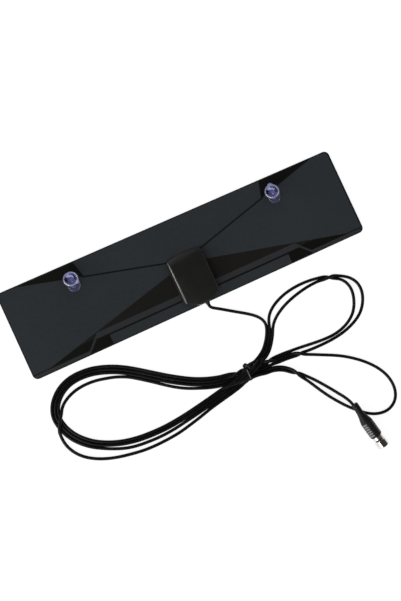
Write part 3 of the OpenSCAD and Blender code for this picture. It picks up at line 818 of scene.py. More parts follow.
@dataclass(frozen=True)
class ClearVinyl:
    """Clear soft vinyl with a violet cast, cloudier where it is thick and at the lip, with painted
    highlights and painted shade.

    The cup's own map gives the share of the way from its head to the middle of its dish, and the
    share of a turn in the table's frame.
    """

    name: str = "cup_vinyl"
    clear: Colour = (0.42, 0.43, 0.72)
    centre: Colour = srgb(112, 118, 186)
    # The pale colour of the lip, also that of the painted highlights.
    pale: Colour = srgb(192, 192, 216)
    base: Colour = srgb(92, 93, 116)
    # Colour of the painted glint on the lip.
    white: Colour = srgb(236, 236, 246)
    neck: Colour = srgb(60, 61, 96)

    def material(self) -> bpy.types.Material:
        """A clear and a cloudy shader, mixed by where the point lies on the cup.

        The cloudiness is high at the lip and in the dish's middle; two clear crescents of painted
        shade lie between them, each where the cosine of the angle from its own direction is high. A
        bright arc, a pale haze, glints on the lip and a pale side of the flange's rim are painted
        highlights, each in its own direction. Up to a share of 0.3 lies the head with its flange,
        to 0.4 the neck, to 0.6 the bell's outside and to 0.65 the lip.

        Returns:
            The material.
        """
        b = Bench(self.name)
        share, turn, _ = b.axes("UV")
        flow = b.noise(0.0016, 3.0, 0.6)

        def towards(degrees: float, low: float, high: float) -> Value:
            """1 where the direction is that of the given angle."""
            return (turn * FULL_TURN - math.radians(degrees)).math("COSINE").ease(low, high)

        lip = share.within(0.585, 0.685, 0.012)
        middle = share.ease(0.79, 0.87)
        core = share.ease(0.93, 0.98)
        # Painted highlight: a bright arc inside the dish, towards 66 degrees.
        painted_arc = share.within(0.79, 0.85, 0.02) * towards(66.0, 0.55, 0.85)
        ring = share.within(0.69, 0.80, 0.02)
        # Painted shade: two dark crescents where the cup is left clear.
        gap = ring * (towards(13.0, 0.6, 0.85) + towards(160.0, 0.78, 0.95))
        # Painted highlight: a pale haze inside the dish, towards 112 degrees.
        painted_haze = share.within(0.69, 0.82, 0.02) * towards(112.0, 0.8, 0.98)
        foot = share.ease(0.29, 0.27)
        neck = share.within(0.285, 0.565, 0.01)
        # Painted highlight: a white glint on the lip, towards 212 degrees.
        painted_glint = lip * towards(212.0, 0.82, 0.96)
        # Painted highlight: the flange's rim paler towards -25 degrees.
        painted_rim = share.within(0.17, 0.235, 0.01) * towards(-25.0, 0.5, 0.9)
        cloudy = (lip * 0.6 + middle * 0.42 + (painted_arc + painted_haze) * 0.5 + ring * 0.34 + foot * 0.42
                  + neck * 0.95 + painted_rim * 0.8 + flow * 0.12 - gap * 0.5)
        cloudy = cloudy.math("MAXIMUM", 0.03).math("MINIMUM", 0.95)
        # Painted highlight: the lip brighter towards 212 and -51 degrees.
        lit = 0.45 + towards(212.0, 0.6, 0.95) * 0.55 + towards(-51.0, 0.85, 1.0) * 0.4
        bright = (lip * lit + painted_arc + painted_haze * 0.5 + core * 0.4).math("MINIMUM", 1.0)
        tint = b.mix(foot, b.mix(bright, self.centre, self.pale), self.base)
        tint = b.mix(painted_glint, b.mix(painted_rim, b.mix(neck, tint, self.neck), self.pale), self.white)
        normal = b.bump(flow, 0.00008, 0.6)
        clear = b.principled(Base_Color=self.clear, Roughness=flow * 0.08 + 0.04, Ior=1.42,
                             Transmission_Weight=1.0, Specular_Ior_Level=0.5, Normal=normal)
        milky = b.principled(Base_Color=tint, Roughness=flow * 0.2 + 0.18, Ior=1.45,
                             Specular_Ior_Level=0.6, Normal=normal)
        return b.close(b.mixed(cloudy, clear, milky))


@dataclass(frozen=True)
class Laminate:
    """Circuit board: green mask over glass weave, copper tracks just showing through."""

    name: str = "board_laminate"
    mask: Colour = srgb(14, 62, 36)
    tracks: Colour = srgb(38, 104, 60)
    weave: float = 5200.0
    track: Pair = (1500.0, 420.0)

    def material(self) -> bpy.types.Material:
        """A weave of two waves for the bump, and stripes of a lighter green for the tracks.

        Returns:
            The material.
        """
        b = Bench(self.name)
        x, y, _ = b.axes()
        weave = (x * self.weave).math("SINE") * (y * self.weave).math("SINE") * 0.5 + 0.5
        across, along = self.track
        track = ((x * across).math("SINE") * (y * along).math("COSINE")).ease(0.55, 0.7)
        return b.done(Base_Color=b.mix(track, self.mask, self.tracks),
                      Roughness=0.34 - track * 0.08, Coat_Weight=0.3,
                      Normal=b.bump(weave, 0.00001, 1.0, b.bump(track, 0.00003)))


@dataclass(frozen=True)
class Foil:
    """Laminated aluminium foil with its rolled lines."""

    name: str = "element_foil"
    dull: Colour = (0.72, 0.73, 0.75)
    bright: Colour = (0.86, 0.86, 0.87)

    def material(self) -> bpy.types.Material:
        """Rolling lines along the panel in gloss and bump.

        Returns:
            The material.
        """
        b = Bench(self.name)
        lines = b.noise(0.001, 4.0, 0.7, b.place(scale=(0.05, 1.0, 1.0)))
        return b.done(Base_Color=b.mix(lines, self.dull, self.bright), Metallic=1.0,
                      Roughness=lines * 0.2 + 0.2, Normal=b.bump(lines, 0.00001))


def dress(piece: bpy.types.Object, finish: Any) -> bpy.types.Object:
    """Put one finish over a whole piece.

    Args:
        piece: the object.
        finish: any of the finishes above.
    Returns:
        The piece.
    """
    material = bpy.data.materials.get(finish.name) or finish.material()
    piece.data.materials.clear()
    piece.data.materials.append(material)
    return piece


# The antenna's own finishes

HOUSING = PaintedEdgeHighlight("housing_plastic", srgb(27, 27, 26), rough=0.36, grain=0.0004)
BACK_SHELL = Moulding("back_shell_plastic", srgb(24, 24, 25))
GRIP = RibbedVinyl()
RELIEF = Moulding("relief_vinyl", srgb(20, 20, 21), rough=0.45)
TIE = TieVinyl("tie_vinyl", srgb(13, 13, 14), rough=0.42, grain=0.0004, shine=0.3)
CHIP = Moulding("chip_ceramic", srgb(120, 100, 78))
FERRITE = Moulding("ferrite_grey", srgb(52, 52, 56), rough=0.7, grain=0.0003, depth=0.00005)
INSULATOR = Moulding("insulator_white", srgb(225, 222, 212), rough=0.4)
FILM = LinedFilm("front_film_ink", srgb(36, 42, 46), srgb(45, 51, 55))
BACK_FILM = PrintedFilm("back_film_ink", srgb(30, 32, 34), srgb(36, 38, 41), rough=0.5)
FACETS = FacetInk("dark_ink", srgb(20, 20, 18), srgb(26, 25, 23), rough=0.46)
BANDS = PrintedFilm("pale_ink", srgb(39, 42, 45), srgb(45, 47, 51))
CHROME = Plated("nickel_plate", (0.78, 0.78, 0.77), (0.5, 0.47, 0.42), rough=0.16)
SCREW = Metal("screw_steel", (0.55, 0.55, 0.56), (0.35, 0.33, 0.31), rough=0.3)
EYELET = Metal("eyelet_brass", (0.75, 0.62, 0.35), (0.45, 0.36, 0.2), rough=0.28)
COPPER = Metal("copper_wire", (0.78, 0.4, 0.22), (0.5, 0.22, 0.12), rough=0.25)
TINNED = Metal("tinned_copper", (0.68, 0.67, 0.64), (0.45, 0.43, 0.4), rough=0.35)
PIN = Metal("pin_copper", (0.85, 0.55, 0.32), (0.6, 0.36, 0.2))


class Body(Enum):
    """The bodies that pieces ride on."""

    ANTENNA = "antenna"
    NUT = "nut"


def finished(piece: bpy.types.Object, finish: Any, slot: str, *nodes: str,
             body: Body = Body.ANTENNA) -> bpy.types.Object:
    """Dress a new piece, attach it to its body and hide the nodes that it stands for.

    Args:
        piece: the new piece.
        finish: its finish.
        slot: not used.
        nodes: the nodes that it stands for.
        body: the body that it rides on.
    Returns:
        The piece.
    """
    dress(piece, finish)
    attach(piece, body.value)
    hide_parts(*nodes)
    log.info("%s: %d points", piece.name, len(piece.data.vertices))
    return piece


@dataclass
class Panel:
    """The flat panel: two films with the print in the front one and the foil between them."""

    nodes: dict[str, bpy.types.Object]
    finishes: dict[str, Any] = field(default_factory=lambda: {
        "front_film": FILM, "back_film": BACK_FILM, "printed_facets": FACETS,
        "printed_bands": BANDS, "foil_element_left": Foil(), "foil_element_right": Foil()})

    def build(self) -> None:
        """Give each layer its finish."""
        for node, finish in self.finishes.items():
            dress(self.nodes[node], finish)
        log.info("%s: %d nodes", type(self).__name__.lower(), len(self.finishes))


@dataclass
class Housing(Panel):
    """The feed housing clamped over the panel's lower edge, with its board and balun."""

    edge: float = 0.35 * MM
    weld: float = 0.00001
    flat: float = math.radians(1.0)
    corner: float = math.radians(18.0)
    finishes: dict[str, Any] = field(default_factory=lambda: {
        "housing_back": BACK_SHELL, "housing_screws": SCREW, "circuit_board": Laminate(),
        "board_chips": CHIP, "ferrite_core": FERRITE, "balun_winding": COPPER,
        "cable_tails": TINNED, "feed_eyelet_left": EYELET, "feed_eyelet_right": EYELET,
        "strain_relief": RELIEF, "cable_end": Jacket("inner_jacket")})

    def build(self) -> None:
        """Dress the nodes, and round the cover's edges on a merged copy."""
        super().build()
        cover = self.softened("housing_cover", "housing_moulding")
        finished(cover, HOUSING, "housing", "housing_cover")

    def softened(self, node: str, name: str) -> bpy.types.Object:
        """A copy of a node with its corners rounded.

        Args:
            node: the node that it stands for.
            name: the new piece's name.
        Returns:
            The new piece.
        """
        piece = add_object(name, self.nodes[node].data.copy())
        steps = {"WELD": {"merge_threshold": self.weld},
                 "DECIMATE": {"decimate_type": "DISSOLVE", "angle_limit": self.flat},
                 "BEVEL": {"width": self.edge, "segments": 3, "limit_method": "ANGLE",
                           "angle_limit": self.corner, "harden_normals": True}}
        for kind, settings in steps.items():
            modifier = piece.modifiers.new(kind.lower(), kind)
            for key, setting in settings.items():
                setattr(modifier, key, setting)
        graph = bpy.context.evaluated_depsgraph_get()
        mesh = bpy.data.meshes.new_from_object(piece.evaluated_get(graph))
        piece.modifiers.clear()
        piece.data = mesh
        mesh.polygons.foreach_set("use_smooth", np.ones(len(mesh.polygons), bool))
        return piece


@dataclass
class SuctionCup:
    """One clear cup: head behind the panel, flange, bent neck, leaning bell with its pull tab."""

    side: int
    lean: Pair
    tab_turn: float
    tab_reach: float = 1.6
    cup_x: float = 103.0
    cup_y: float = 22.0
    lip_r: float = 6.7
    lip_w: float = 0.5
    neck_r: float = 2.3
    head_r: float = 4.7
    flange_r: float = 6.0
    flange_h: float = 1.0
    bell_h: float = 5.2
    bell_wall: float = 1.5
    dish: float = 2.3
    tilt: float = math.radians(14.0)
    lift: float = 2.6
    face: float = 3.5
    bend_rise: float = 2.2
    tab_r: float = 2.8
    sides: int = 96
    neck_rows: int = 9
    outer_rows: int = 22
    lip_rows: int = 5
    inner_rows: int = 26
    shares: tuple[float, ...] = (0.0, 0.3, 0.4, 0.6, 0.65, 1.0)

    def profile(self) -> tuple[Array, Array]:
        """The cup's outline from the middle of its head, round the lip, to its dish's middle.

        Returns:
            Rows of radius and height, the bell's own height being measured from its neck, and for
            each row the share of the bell's frame that it follows, from 0 on the panel to 1.
        """
        top = self.face + self.flange_h
        foot = rounded([(0.0, 0.0), (self.head_r * 0.72, 0.0), (self.head_r, self.lift * 0.4),
                        (self.head_r, self.lift), (self.neck_r, self.lift),
                        (self.neck_r, self.face), (self.flange_r, self.face),
                        (self.flange_r - 0.4, self.face + self.flange_h * 0.7),
                        (self.flange_r - 1.4, top), (self.neck_r + 0.25, top)], 0.35)[1:]
        rise = np.linspace(0.0, 1.0, self.neck_rows)
        neck = np.stack([np.full(self.neck_rows, self.neck_r),
                         top + 0.2 + rise * (self.bend_rise - 0.1)], axis=1)
        t = np.linspace(0.0, 1.0, self.outer_rows)
        r = self.neck_r + (self.lip_r - self.neck_r) * t
        drop = self.dish_z(r) - self.bell_wall * (1 - t) - self.lip_w * t
        outer = np.stack([r, np.maximum(drop, 0.15 + 0.35 * t)], axis=1)
        bead = np.linspace(-0.5, 0.5, self.lip_rows + 2)[1:-1] * math.pi
        lip = np.stack([self.lip_r + 0.18 * np.cos(bead),
                        self.bell_h - self.lip_w / 2 + 0.3 * np.sin(bead)], axis=1)
        r = (self.lip_r - self.lip_w) * np.linspace(1.0, 0.03, self.inner_rows)
        inner = np.stack([r, self.dish_z(r)], axis=1)
        share = np.concatenate([np.zeros(len(foot)), smooth(rise), np.ones(self.bell_rows())])
        return np.concatenate([foot, neck, outer, lip, inner]), share

    def bell_rows(self) -> int:
        """How many rows the bell has."""
        return self.outer_rows + self.lip_rows + self.inner_rows

    def dish_z(self, radius: Array) -> Array:
        """Height of the dish: its depth goes as one less the square of the radius share."""
        return self.bell_h - self.dish * (1 - (radius / (self.lip_r - self.lip_w)) ** 2)

    def tab(self, angle: Array) -> Array:
        """How far the pull tab reaches past the lip.

        The lip's radius grows to that of a small circle: c cos a + root(q squared - (c sin a)
        squared), with c its middle and q its radius.

        Args:
            angle: directions from the tab's own.
        Returns:
            The growth for each direction.
        """
        middle = self.lip_r - self.tab_r + self.tab_reach
        under = self.tab_r ** 2 - (middle * np.sin(angle)) ** 2
        reach = middle * np.cos(angle) + np.sqrt(np.maximum(under, 0))
        return np.where((under > 0) & (np.cos(angle) > 0), np.maximum(reach - self.lip_r, 0.0), 0.0)

    def build(self) -> bpy.types.Object:
        """Make the cup's surface, bend it and add the tab.

        A point is (1 - w) times its place over the hole plus w times its place in the bell's frame,
        which is shifted along the lean and tilted.

        Returns:
            The piece.
        """
        rows, share = self.profile()
        angle = turns(self.sides)
        lean_turn = math.atan2(self.lean[1], self.lean[0])
        grow = self.tab(angle - (math.radians(self.tab_turn) - lean_turn))
        near_lip = smooth((rows[:, 0] - (self.lip_r - 0.6)) / 0.5) * (share == 1.0)
        r = rows[:, 0:1] + near_lip[:, None] * grow[None, :]
        flat = rings(r, angle, rows[:, 1:2])
        shift = math.hypot(*self.lean) - self.bell_h * math.sin(self.tilt)
        bell_z = self.face + self.flange_h + self.neck_r * 0.4 + self.bend_rise
        x, y, z = np.moveaxis(flat.copy(), -1, 0)
        z[:-self.bell_rows()] -= bell_z
        x, z = spun(x, z, -self.tilt)
        w = share[:, None, None]
        placed = (1 - w) * flat + w * np.stack([shift + x, y, bell_z + z], axis=-1)
        x, y = spun(placed[..., 0], placed[..., 1], lean_turn)
        world = np.stack([self.side * self.cup_x + x, self.cup_y + y, placed[..., 2]], axis=-1) * MM
        counts = (len(rows) - self.neck_rows - self.bell_rows(), self.neck_rows, self.outer_rows,
                  self.lip_rows, self.inner_rows)
        shares = np.concatenate([np.linspace(low, high, count) for low, high, count in
                                 zip(self.shares, self.shares[1:], counts)])
        word = "left" if self.side < 0 else "right"
        skin = Skin().add(world, shares=shares, turn=lean_turn / FULL_TURN)
        return finished(skin.build(f"clear_cup_{word}"), ClearVinyl(), "clear_vinyl",
                        f"suction_cup_{word}")


@dataclass
class Tie:
    """The vinyl-covered wire tie round the middle of the loops, with its twisted ends."""

    x: float = 9.0
    y: Pair = (-124.5, -111.9)
    top: float = 6.3
    thickness: float = 0.5
    width: float = 2.6
    sides: int = 20
    path_steps: int = 96
    corner: float = 0.36
    ridge: float = 0.128
    wire: float = 0.35
    slack: float = 0.14
    wound: float = 0.55
    strand: Pair = (0.85, 0.7)
    wound_turns: float = 2.2
    wound_from: float = 0.3
    ends: tuple = ((8.6, -112.6, 3.4), (8.4, -111.0, 3.7), (9.1, -109.4, 4.4), (10.3, -109.6, 5.2),
                   (11.2, -111.0, 6.2), (12.1, -112.9, 6.9), (12.8, -114.4, 6.8))

    def band(self) -> Array:
        """The band: a flat oval section with a ridge for its wire, carried round the loops.

        The path is a superellipse in the tie's plane: y and z follow the cosine and the sine of
        the angle, each to the corner's power, so that it lies close to the strands.

        Returns:
            A grid in metres.
        """
        a = turns(self.path_steps)
        half_t = self.thickness / 2
        mid_y, half_y = sum(self.y) / 2, (self.y[1] - self.y[0]) / 2 + half_t
        mid_z, half_z = (self.top + self.thickness) / 2, self.top / 2

        def eased(t: Array) -> Array:
            """The value to the corner's power, with its sign."""
            return np.sign(t) * np.abs(t) ** self.corner

        y, z = mid_y + half_y * eased(np.cos(a)), mid_z + half_z * eased(np.sin(a))
        path = np.stack([np.full_like(y, self.x), y, z], axis=1)
        tangent = unit(np.roll(path, -1, axis=0) - np.roll(path, 1, axis=0))
        across = np.array([1.0, 0.0, 0.0])
        outward = np.cross(tangent, across)
        s = turns(self.sides)
        wide = np.cos(s) * self.width / 2
        ridge = self.ridge * np.exp(-(wide / self.wire) ** 2)
        thick = np.sign(np.sin(s)) * (np.abs(np.sin(s)) ** 0.5 * (half_t - self.slack) + ridge)
        return (path[:, None] + wide[None, :, None] * across
                + thick[None, :, None] * outward[:, None]) * MM

    def twist(self, phase: float) -> Array:
        """One of two strands wound round each other, up beside the loops and folded over them.

        Its middle follows the ends' curve and circles it: the offset times (cos, sin) of the phase
        plus the share times the turns.

        Args:
            phase: where it starts, in radians.
        Returns:
            A grid in metres.
        """
        axis = catmull(np.array(self.ends, float), 0.18)
        t = np.linspace(0.0, 1.0, len(axis))[:, None]
        tangent = unit(np.gradient(axis, axis=0))
        side = unit(np.cross(tangent, np.array([0.3, 0.1, 1.0])))
        up = np.cross(side, tangent)
        angle = phase + FULL_TURN * self.wound_turns * t
        path = axis + self.wound * (np.cos(angle) * side + np.sin(angle) * up)
        s = turns(14)
        close = np.sqrt(np.clip(1.0 - (2.0 * t - 1.0) ** 24, 0.05, 1.0))
        wide, high = self.strand
        section = np.stack([wide * np.cos(s), high * np.sin(s)], axis=1)[None] * close[:, :, None]
        return sweep(path, section) * MM

    def build(self) -> bpy.types.Object:
        """Make the band and its two wound ends as one piece.

        Returns:
            The piece.
        """
        skin = Skin().add(self.band(), loop_rows=True)
        for phase in (self.wound_from, self.wound_from + math.pi):
            skin.add(self.twist(phase))
        return finished(skin.build("twist_tie"), TIE, "tie", "cord_tie")


@dataclass
class Lead:
    """The coaxial lead: its route through the tied loops to the plug, in millimetres.

    A point of the route that gives no height lies on the table. The lengths from sink to passes
    say how the lead settles, each as millimetres or as a share in one round.
    """

    tie: Tie
    diameter: float = 3.0
    step: float = 2.0
    sides: int = 16
    declared_m: float = 2.80
    table: float = 1.35
    rounds: int = 420
    refresh: int = 20
    passes: int = 3
    near: float = 2.5
    sink: float = 0.06
    home_pull: float = 0.04
    easing: float = 0.35
    push: float = 0.4
    crowd: float = 0.6
    unbend: float = 0.5
    tightest: float = 2.4
    held_first: int = 14
    held_last: int = 9
    lifted: tuple[float, ...] = (2.0, 3.2, 3.6, 3.2, 2.0)
    lifted_from: int = 17

    def start(self) -> list:
        """From the strain relief down to the table and back to the tie."""
        return [(2.2, -45, 5.75), (2.6, -47, 5.6), (4, -48.8, 5.2), (6.4, -50.4, 4.7),
                (10, -52.6, 3.9), (15, -55.9, 3), (20, -59.2, 2.2), (25, -62.5, 1.6), (30, -65.7),
                (35, -69.2), (40, -73), (43, -76.3), (45.2, -79.8), (45.6, -85), (43.8, -90.5),
                (40.6, -96.5), (37, -101.5), (32.5, -106.5), (26, -110), (18, -112.6, 1.6)]

    def bundle(self) -> list:
        """Middle of the three strands on the left: x, y, the gaps to the outer and inner one."""
        return [(-10, -114.5, 2, 2), (-20, -111.9, 2.6, 2.6), (-30, -108.3, 2.8, 2.8),
                (-40, -103.7, 2.8, 2.8), (-50, -97.8, 3, 3), (-60, -91.2, 3, 3),
                (-70, -83.9, 3, 3), (-80, -76.5, 2.8, 2.8), (-90, -69.2, 2.8, 2.8),
                (-100, -63.2, 2.8, 2.9), (-110, -59, 3, 3), (-120, -55.9, 2.8, 2.8),
                (-130, -54.7, 2.6, 2.6), (-140, -55.1, 2.6, 2.6), (-150, -58.3, 2.7, 2.7),
                (-158.2, -64, 2.7, 2.7), (-163, -69.8, 2.8, 2.8), (-165.8, -76.5, 2.4, 2.4),
                (-166.6, -82, 2, 2), (-166, -88.5, 1.6, 1.6), (-163.6, -95, 1.7, 1.7),
                (-158.6, -104, 2.2, 2.2), (-148.4, -114.5, 2.9, 2.9), (-140, -119.9, 2.9, 2.8),
                (-130, -124.6, 3.4, 2.7), (-120, -128, 4.2, 2.7), (-110, -130.1, 4.4, 2.7),
                (-100, -131.3, 4.1, 2.7), (-90, -131.8, 4.2, 2.7), (-80, -131.9, 3.8, 2.7),
                (-70, -131.2, 3.5, 2.7), (-60, -130.2, 3, 2.7), (-50, -128.9, 2.7, 2.7),
                (-40, -127.3, 2.7, 2.6), (-30, -125.8, 2.5, 2.4), (-20, -124.2, 2.1, 2.1),
                (-10, -122.7, 1.8, 1.8)]

    def stray(self) -> list:
        """The fourth strand on the left, which crosses over the other three."""
        return [(-10, -118.5), (-20, -116.8), (-30, -114.2), (-40, -110.3), (-50, -105.7),
                (-60, -99.2), (-70, -91.3), (-80, -82.8), (-90, -75.5), (-104, -69.1),
                (-110, -67.5), (-120, -65), (-130, -64.2), (-140, -65), (-150, -68.3),
                (-157, -72.7), (-161.3, -77.5, 2.2), (-164.6, -83.3, 4.4), (-167.2, -88.6, 5),
                (-169.3, -95, 3.2), (-169.3, -105), (-164.9, -115.4), (-158.4, -122.9),
                (-150, -128.7), (-140, -133.3), (-130, -136.4), (-120, -138.5), (-110, -140.3),
                (-100, -141.2), (-85, -141.1), (-70, -140), (-60, -138), (-50, -136),
                (-40, -133.5), (-30, -131), (-20, -128.5), (-10, -126, 1.6)]

    def right_outer(self) -> list:
        """First loop on the right, from the tie and back."""
        return [(18, -114.4, 4.2), (25, -111.9, 4.4), (31, -108.5, 4.2), (36, -104, 3.8),
                (40, -99, 3.8), (44, -93.5, 3.9), (46.2, -88, 3.8), (47.4, -83, 2.6),
                (49.6, -78.3), (54.2, -73.6), (61, -69.6), (70, -66.1), (80, -64), (90, -63.2),
                (100, -63.6), (107.5, -64.7), (115.5, -67), (122.6, -70.2), (128, -73.2),
                (132.2, -77.9), (134.7, -84.2), (134.8, -90), (133, -96.7), (129.7, -104),
                (125.1, -110), (120.5, -113.3), (115.5, -116.1), (108, -118.6), (100, -119.9),
                (90, -119.8), (80, -118.9), (70, -117.6), (60, -116.4), (50, -115.9), (40, -115.7),
                (28, -116, 1.5), (18, -116.4, 1.7)]

    def right_inner(self) -> list:
        """Second loop on the right, which crosses over the first near its top."""
        return [(18, -117.6, 4.2), (25, -115.2, 4.6), (31, -111.6, 4.6), (36, -108, 3),
                (40.6, -102), (44.4, -97), (47.2, -92.4), (50.6, -86.4), (55.5, -82), (62, -78),
                (70, -74.4), (80, -71.3), (90, -69.2), (100, -67.9, 1.6), (110, -67.5, 2.9),
                (116, -68, 4), (121, -69, 4.1), (128, -71, 3), (135.5, -74.8, 1.5), (140.1, -79.2),
                (143, -84.2), (143.8, -90), (143, -95.8), (140.5, -101.7), (136.3, -108.1),
                (131.3, -112.9), (123.8, -117), (117, -119.5), (110, -121.5), (100, -122.9),
                (90, -123.4), (80, -123.3), (70, -122.9), (60, -122.1), (50, -121.3), (40, -120.6),
                (28, -119.6, 1.5), (18, -119.6, 1.7)]

    def lower_loop(self) -> list:
        """The long loop that reaches down past the plug and back to the tie."""
        return [(18, -113.9, 3.2), (28, -115.6, 3.4), (36, -117.3, 3.6), (45, -117.6, 3.8),
                (50, -117.7, 3.9), (57, -119.3, 4.1), (62.5, -122.2, 4.1), (67.5, -125.2, 3.2),
                (73, -127.9, 1.6), (80, -131.5), (90, -136.4), (100, -142), (110, -149.5),
                (115.3, -154), (120, -159), (124, -163.7), (127.2, -168.5), (129.8, -173.5),
                (131.6, -179), (132.5, -185.5), (132, -191.5), (130.5, -196.3), (127.8, -200.4),
                (124, -203.5), (119.2, -205.6), (113.8, -206.3), (107, -205), (100, -202),
                (95, -198.3), (90, -193.4), (84, -187.5), (78.8, -181.3), (74, -174.8), (70, -169),
                (65, -160.6), (60.5, -152.2), (56.6, -145.1, 2.4), (52.2, -138.2, 4.1),
                (47.8, -131.6, 3.4), (43, -126.6, 1.8), (36, -123.8), (28, -122.7, 1.5),
                (18, -122.9, 1.7)]

    def to_plug(self) -> list:
        """The last stretch, from the tie to the plug's tail."""
        return [(18, -122.4, 4.2), (26, -122.9, 3.9), (34, -125.3, 2.2), (41, -128.5), (47, -133),
                (52, -137.3), (57, -141.8), (60.5, -145.3), (64.7, -150), (70, -157),
                (75, -164, 1.7), (79.5, -170.4, 2.9), (82.8, -176.2, 4.2), (84.6, -179.8, 5.3),
                (85.8, -182.7, 5.9), (86.7, -186, 6.1), (88.3, -189.8, 6.1)]

    def laid(self, points: list) -> list:
        """The points, with the table's height where none is given."""
        return [(*point, self.table)[:3] for point in points]

    def strand(self, place: int) -> list:
        """One strand of the left bundle.

        Its points are the bundle's middle moved along the route's normal by the gap of that side.

        Args:
            place: 1 for the outer, 0 for the middle, -1 for the inner strand.
        Returns:
            The strand's points.
        """
        table = np.array(self.bundle(), float)
        direction = unit(np.gradient(table[:, :2], axis=0))
        outward = np.stack([direction[:, 1], -direction[:, 0]], axis=1)
        gap = {1: table[:, 2], 0: 0 * table[:, 2], -1: -table[:, 3]}[place]
        height = np.full(len(table), self.diameter / 2)
        if place == 0:
            height[self.lifted_from:self.lifted_from + len(self.lifted)] = self.lifted
        return np.column_stack([table[:, :2] + outward * gap[:, None], height]).tolist()

    def points(self) -> Array:
        """The whole route: every pass of the tie in its own place of the lower or upper layer.

        Returns:
            Rows of three values in millimetres.
        """
        x = self.tie.x
        route = (self.start() + [(x, -113.3, 1.9), (0, -114.2, 1.7)] + self.strand(0)
                 + [(0, -120, 3.6), (x, -116.6, 4.5)] + self.right_outer()
                 + [(x, -116.5, 1.9), (0, -114, 1.7)] + self.strand(1)
                 + [(0, -121.8, 3.6), (x, -119.7, 4.5)] + self.right_inner()
                 + [(x, -119.8, 1.9), (0, -117.6, 1.7)] + self.strand(-1)
                 + [(0, -117.8, 3.8), (x, -113.5, 4.5)] + self.lower_loop()
                 + [(x, -123, 1.9), (0, -120.2, 1.6)] + self.stray()
                 + [(0, -124.6, 3.2), (x, -122.9, 4.5)] + self.to_plug())
        return np.array(self.laid(route), float)

    def close_pairs(self, points: Array, reach: float) -> tuple[Array, Array]:
        """Pairs of points that are near each other, but more than four places apart on the lead.

        Args:
            points: the route's points.
            reach: the distance that counts as near.
        Returns:
            The places of the first and of the second points.
        """
        squared = (points ** 2).sum(axis=1)
        distance = squared[:, None] + squared[None] - 2.0 * points @ points.T
        first, second = np.nonzero(distance < reach ** 2)
        apart = second - first > 4
        return first[apart], second[apart]

    def parted(self, p: Array, first: Array, second: Array) -> Array:
        """Push apart the pairs of points that are nearer than one diameter.

        Args:
            p: the route's points.
            first, second: places of the pairs that are near each other.
        Returns:
            The moved points.
        """
        gap = p[second] - p[first]
        distance = np.linalg.norm(gap, axis=1)
        over = distance < self.diameter
        push = np.where(over, self.push * (self.diameter - distance), 0.0)[:, None] * unit(gap)
        count = np.bincount(np.concatenate([first, second]), np.tile(over, 2), minlength=len(p))
        total = np.stack([np.bincount(second, push[:, c], len(p))
                          - np.bincount(first, push[:, c], len(p)) for c in range(3)], axis=1)
        return p + total / np.maximum(1.0, self.crowd * count)[:, None]

    def unbent(self, p: Array) -> Array:
        """Open what is bent tighter than the lead allows, by moving each point and its neighbours.

        The distance from a point to the middle of its neighbours is the step squared over twice
        the bend's radius.

        Args:
            p: the route's points.
        Returns:
            The same points, moved.
        """
        allowed = self.step ** 2 / (2 * self.tightest * self.diameter)
        bend = 0.5 * (p[:-2] + p[2:]) - p[1:-1]
        size = np.linalg.norm(bend, axis=1, keepdims=True)
        ease = bend * np.maximum(0.0, 1.0 - allowed / np.maximum(size, 1e-9))
        p[1:-1] += self.unbend * ease
        p[:-2] -= self.unbend / 2 * ease
        p[2:] -= self.unbend / 2 * ease
        return p

    def settle(self, points: Array) -> Array:
        """Let the lead sink onto the table, over itself and into the tie.

        Each round lowers every point a little, draws it back over its own place, eases its bends,
        pushes apart what is nearer than one diameter, and keeps it above the table.

        Args:
            points: the drawn route.
        Returns:
            The settled route.
        """
        p, home, radius = points.copy(), points.copy(), self.diameter / 2
        held = np.zeros(len(p), bool)
        held[:self.held_first] = held[-self.held_last:] = True
        low = np.array([self.tie.y[0] + radius, self.tie.thickness + radius])
        high = np.array([self.tie.y[1] - radius, self.tie.top - radius])
        for turn in range(self.rounds):
            if turn % self.refresh == 0:
                first, second = self.close_pairs(p, self.diameter + self.near)
            p[:, 2] -= self.sink
            p[:, :2] += self.home_pull * (home[:, :2] - p[:, :2])
            p[1:-1] += self.easing * (0.5 * (p[:-2] + p[2:]) - p[1:-1])
            for _ in range(self.passes):
                p = self.unbent(self.parted(p, first, second))
                inside = (np.abs(p[:, 0] - self.tie.x) < 1.6) & (p[:, 1] < -100)
                p[inside, 1:] = np.clip(p[inside, 1:], low, high)
                p[:, 2] = np.maximum(p[:, 2], radius)
                p[held] = home[held]
        return p

    def build(self) -> tuple[bpy.types.Object, Array]:
        """Make the lead's tube.

        Returns:
            The piece and its path in metres.
        """
        path = self.settle(catmull(self.points(), self.step)) * MM
        angle = turns(self.sides)
        section = np.stack([np.cos(angle), np.sin(angle)], axis=1) * self.diameter / 2 * MM
        piece = finished(Skin().add(sweep(path, section)).build("coaxial_lead"), Jacket(),
                         "jacket", "cord_lead", "cord_coil_left", "cord_coil_right",
                         "cord_loop_end", "cord_plug_run")
        steps = np.linalg.norm(np.diff(path, axis=0), axis=1)
        bend = np.linalg.norm(np.diff(path, 2, axis=0), axis=1) / steps.mean() ** 2
        log.info("lead: %.1f mm long, tightest radius %.2f mm, top %.2f mm", steps.sum() / MM,
                 1 / bend.max() / MM, path[:, 2].max() / MM + self.diameter / 2)
        return piece, path


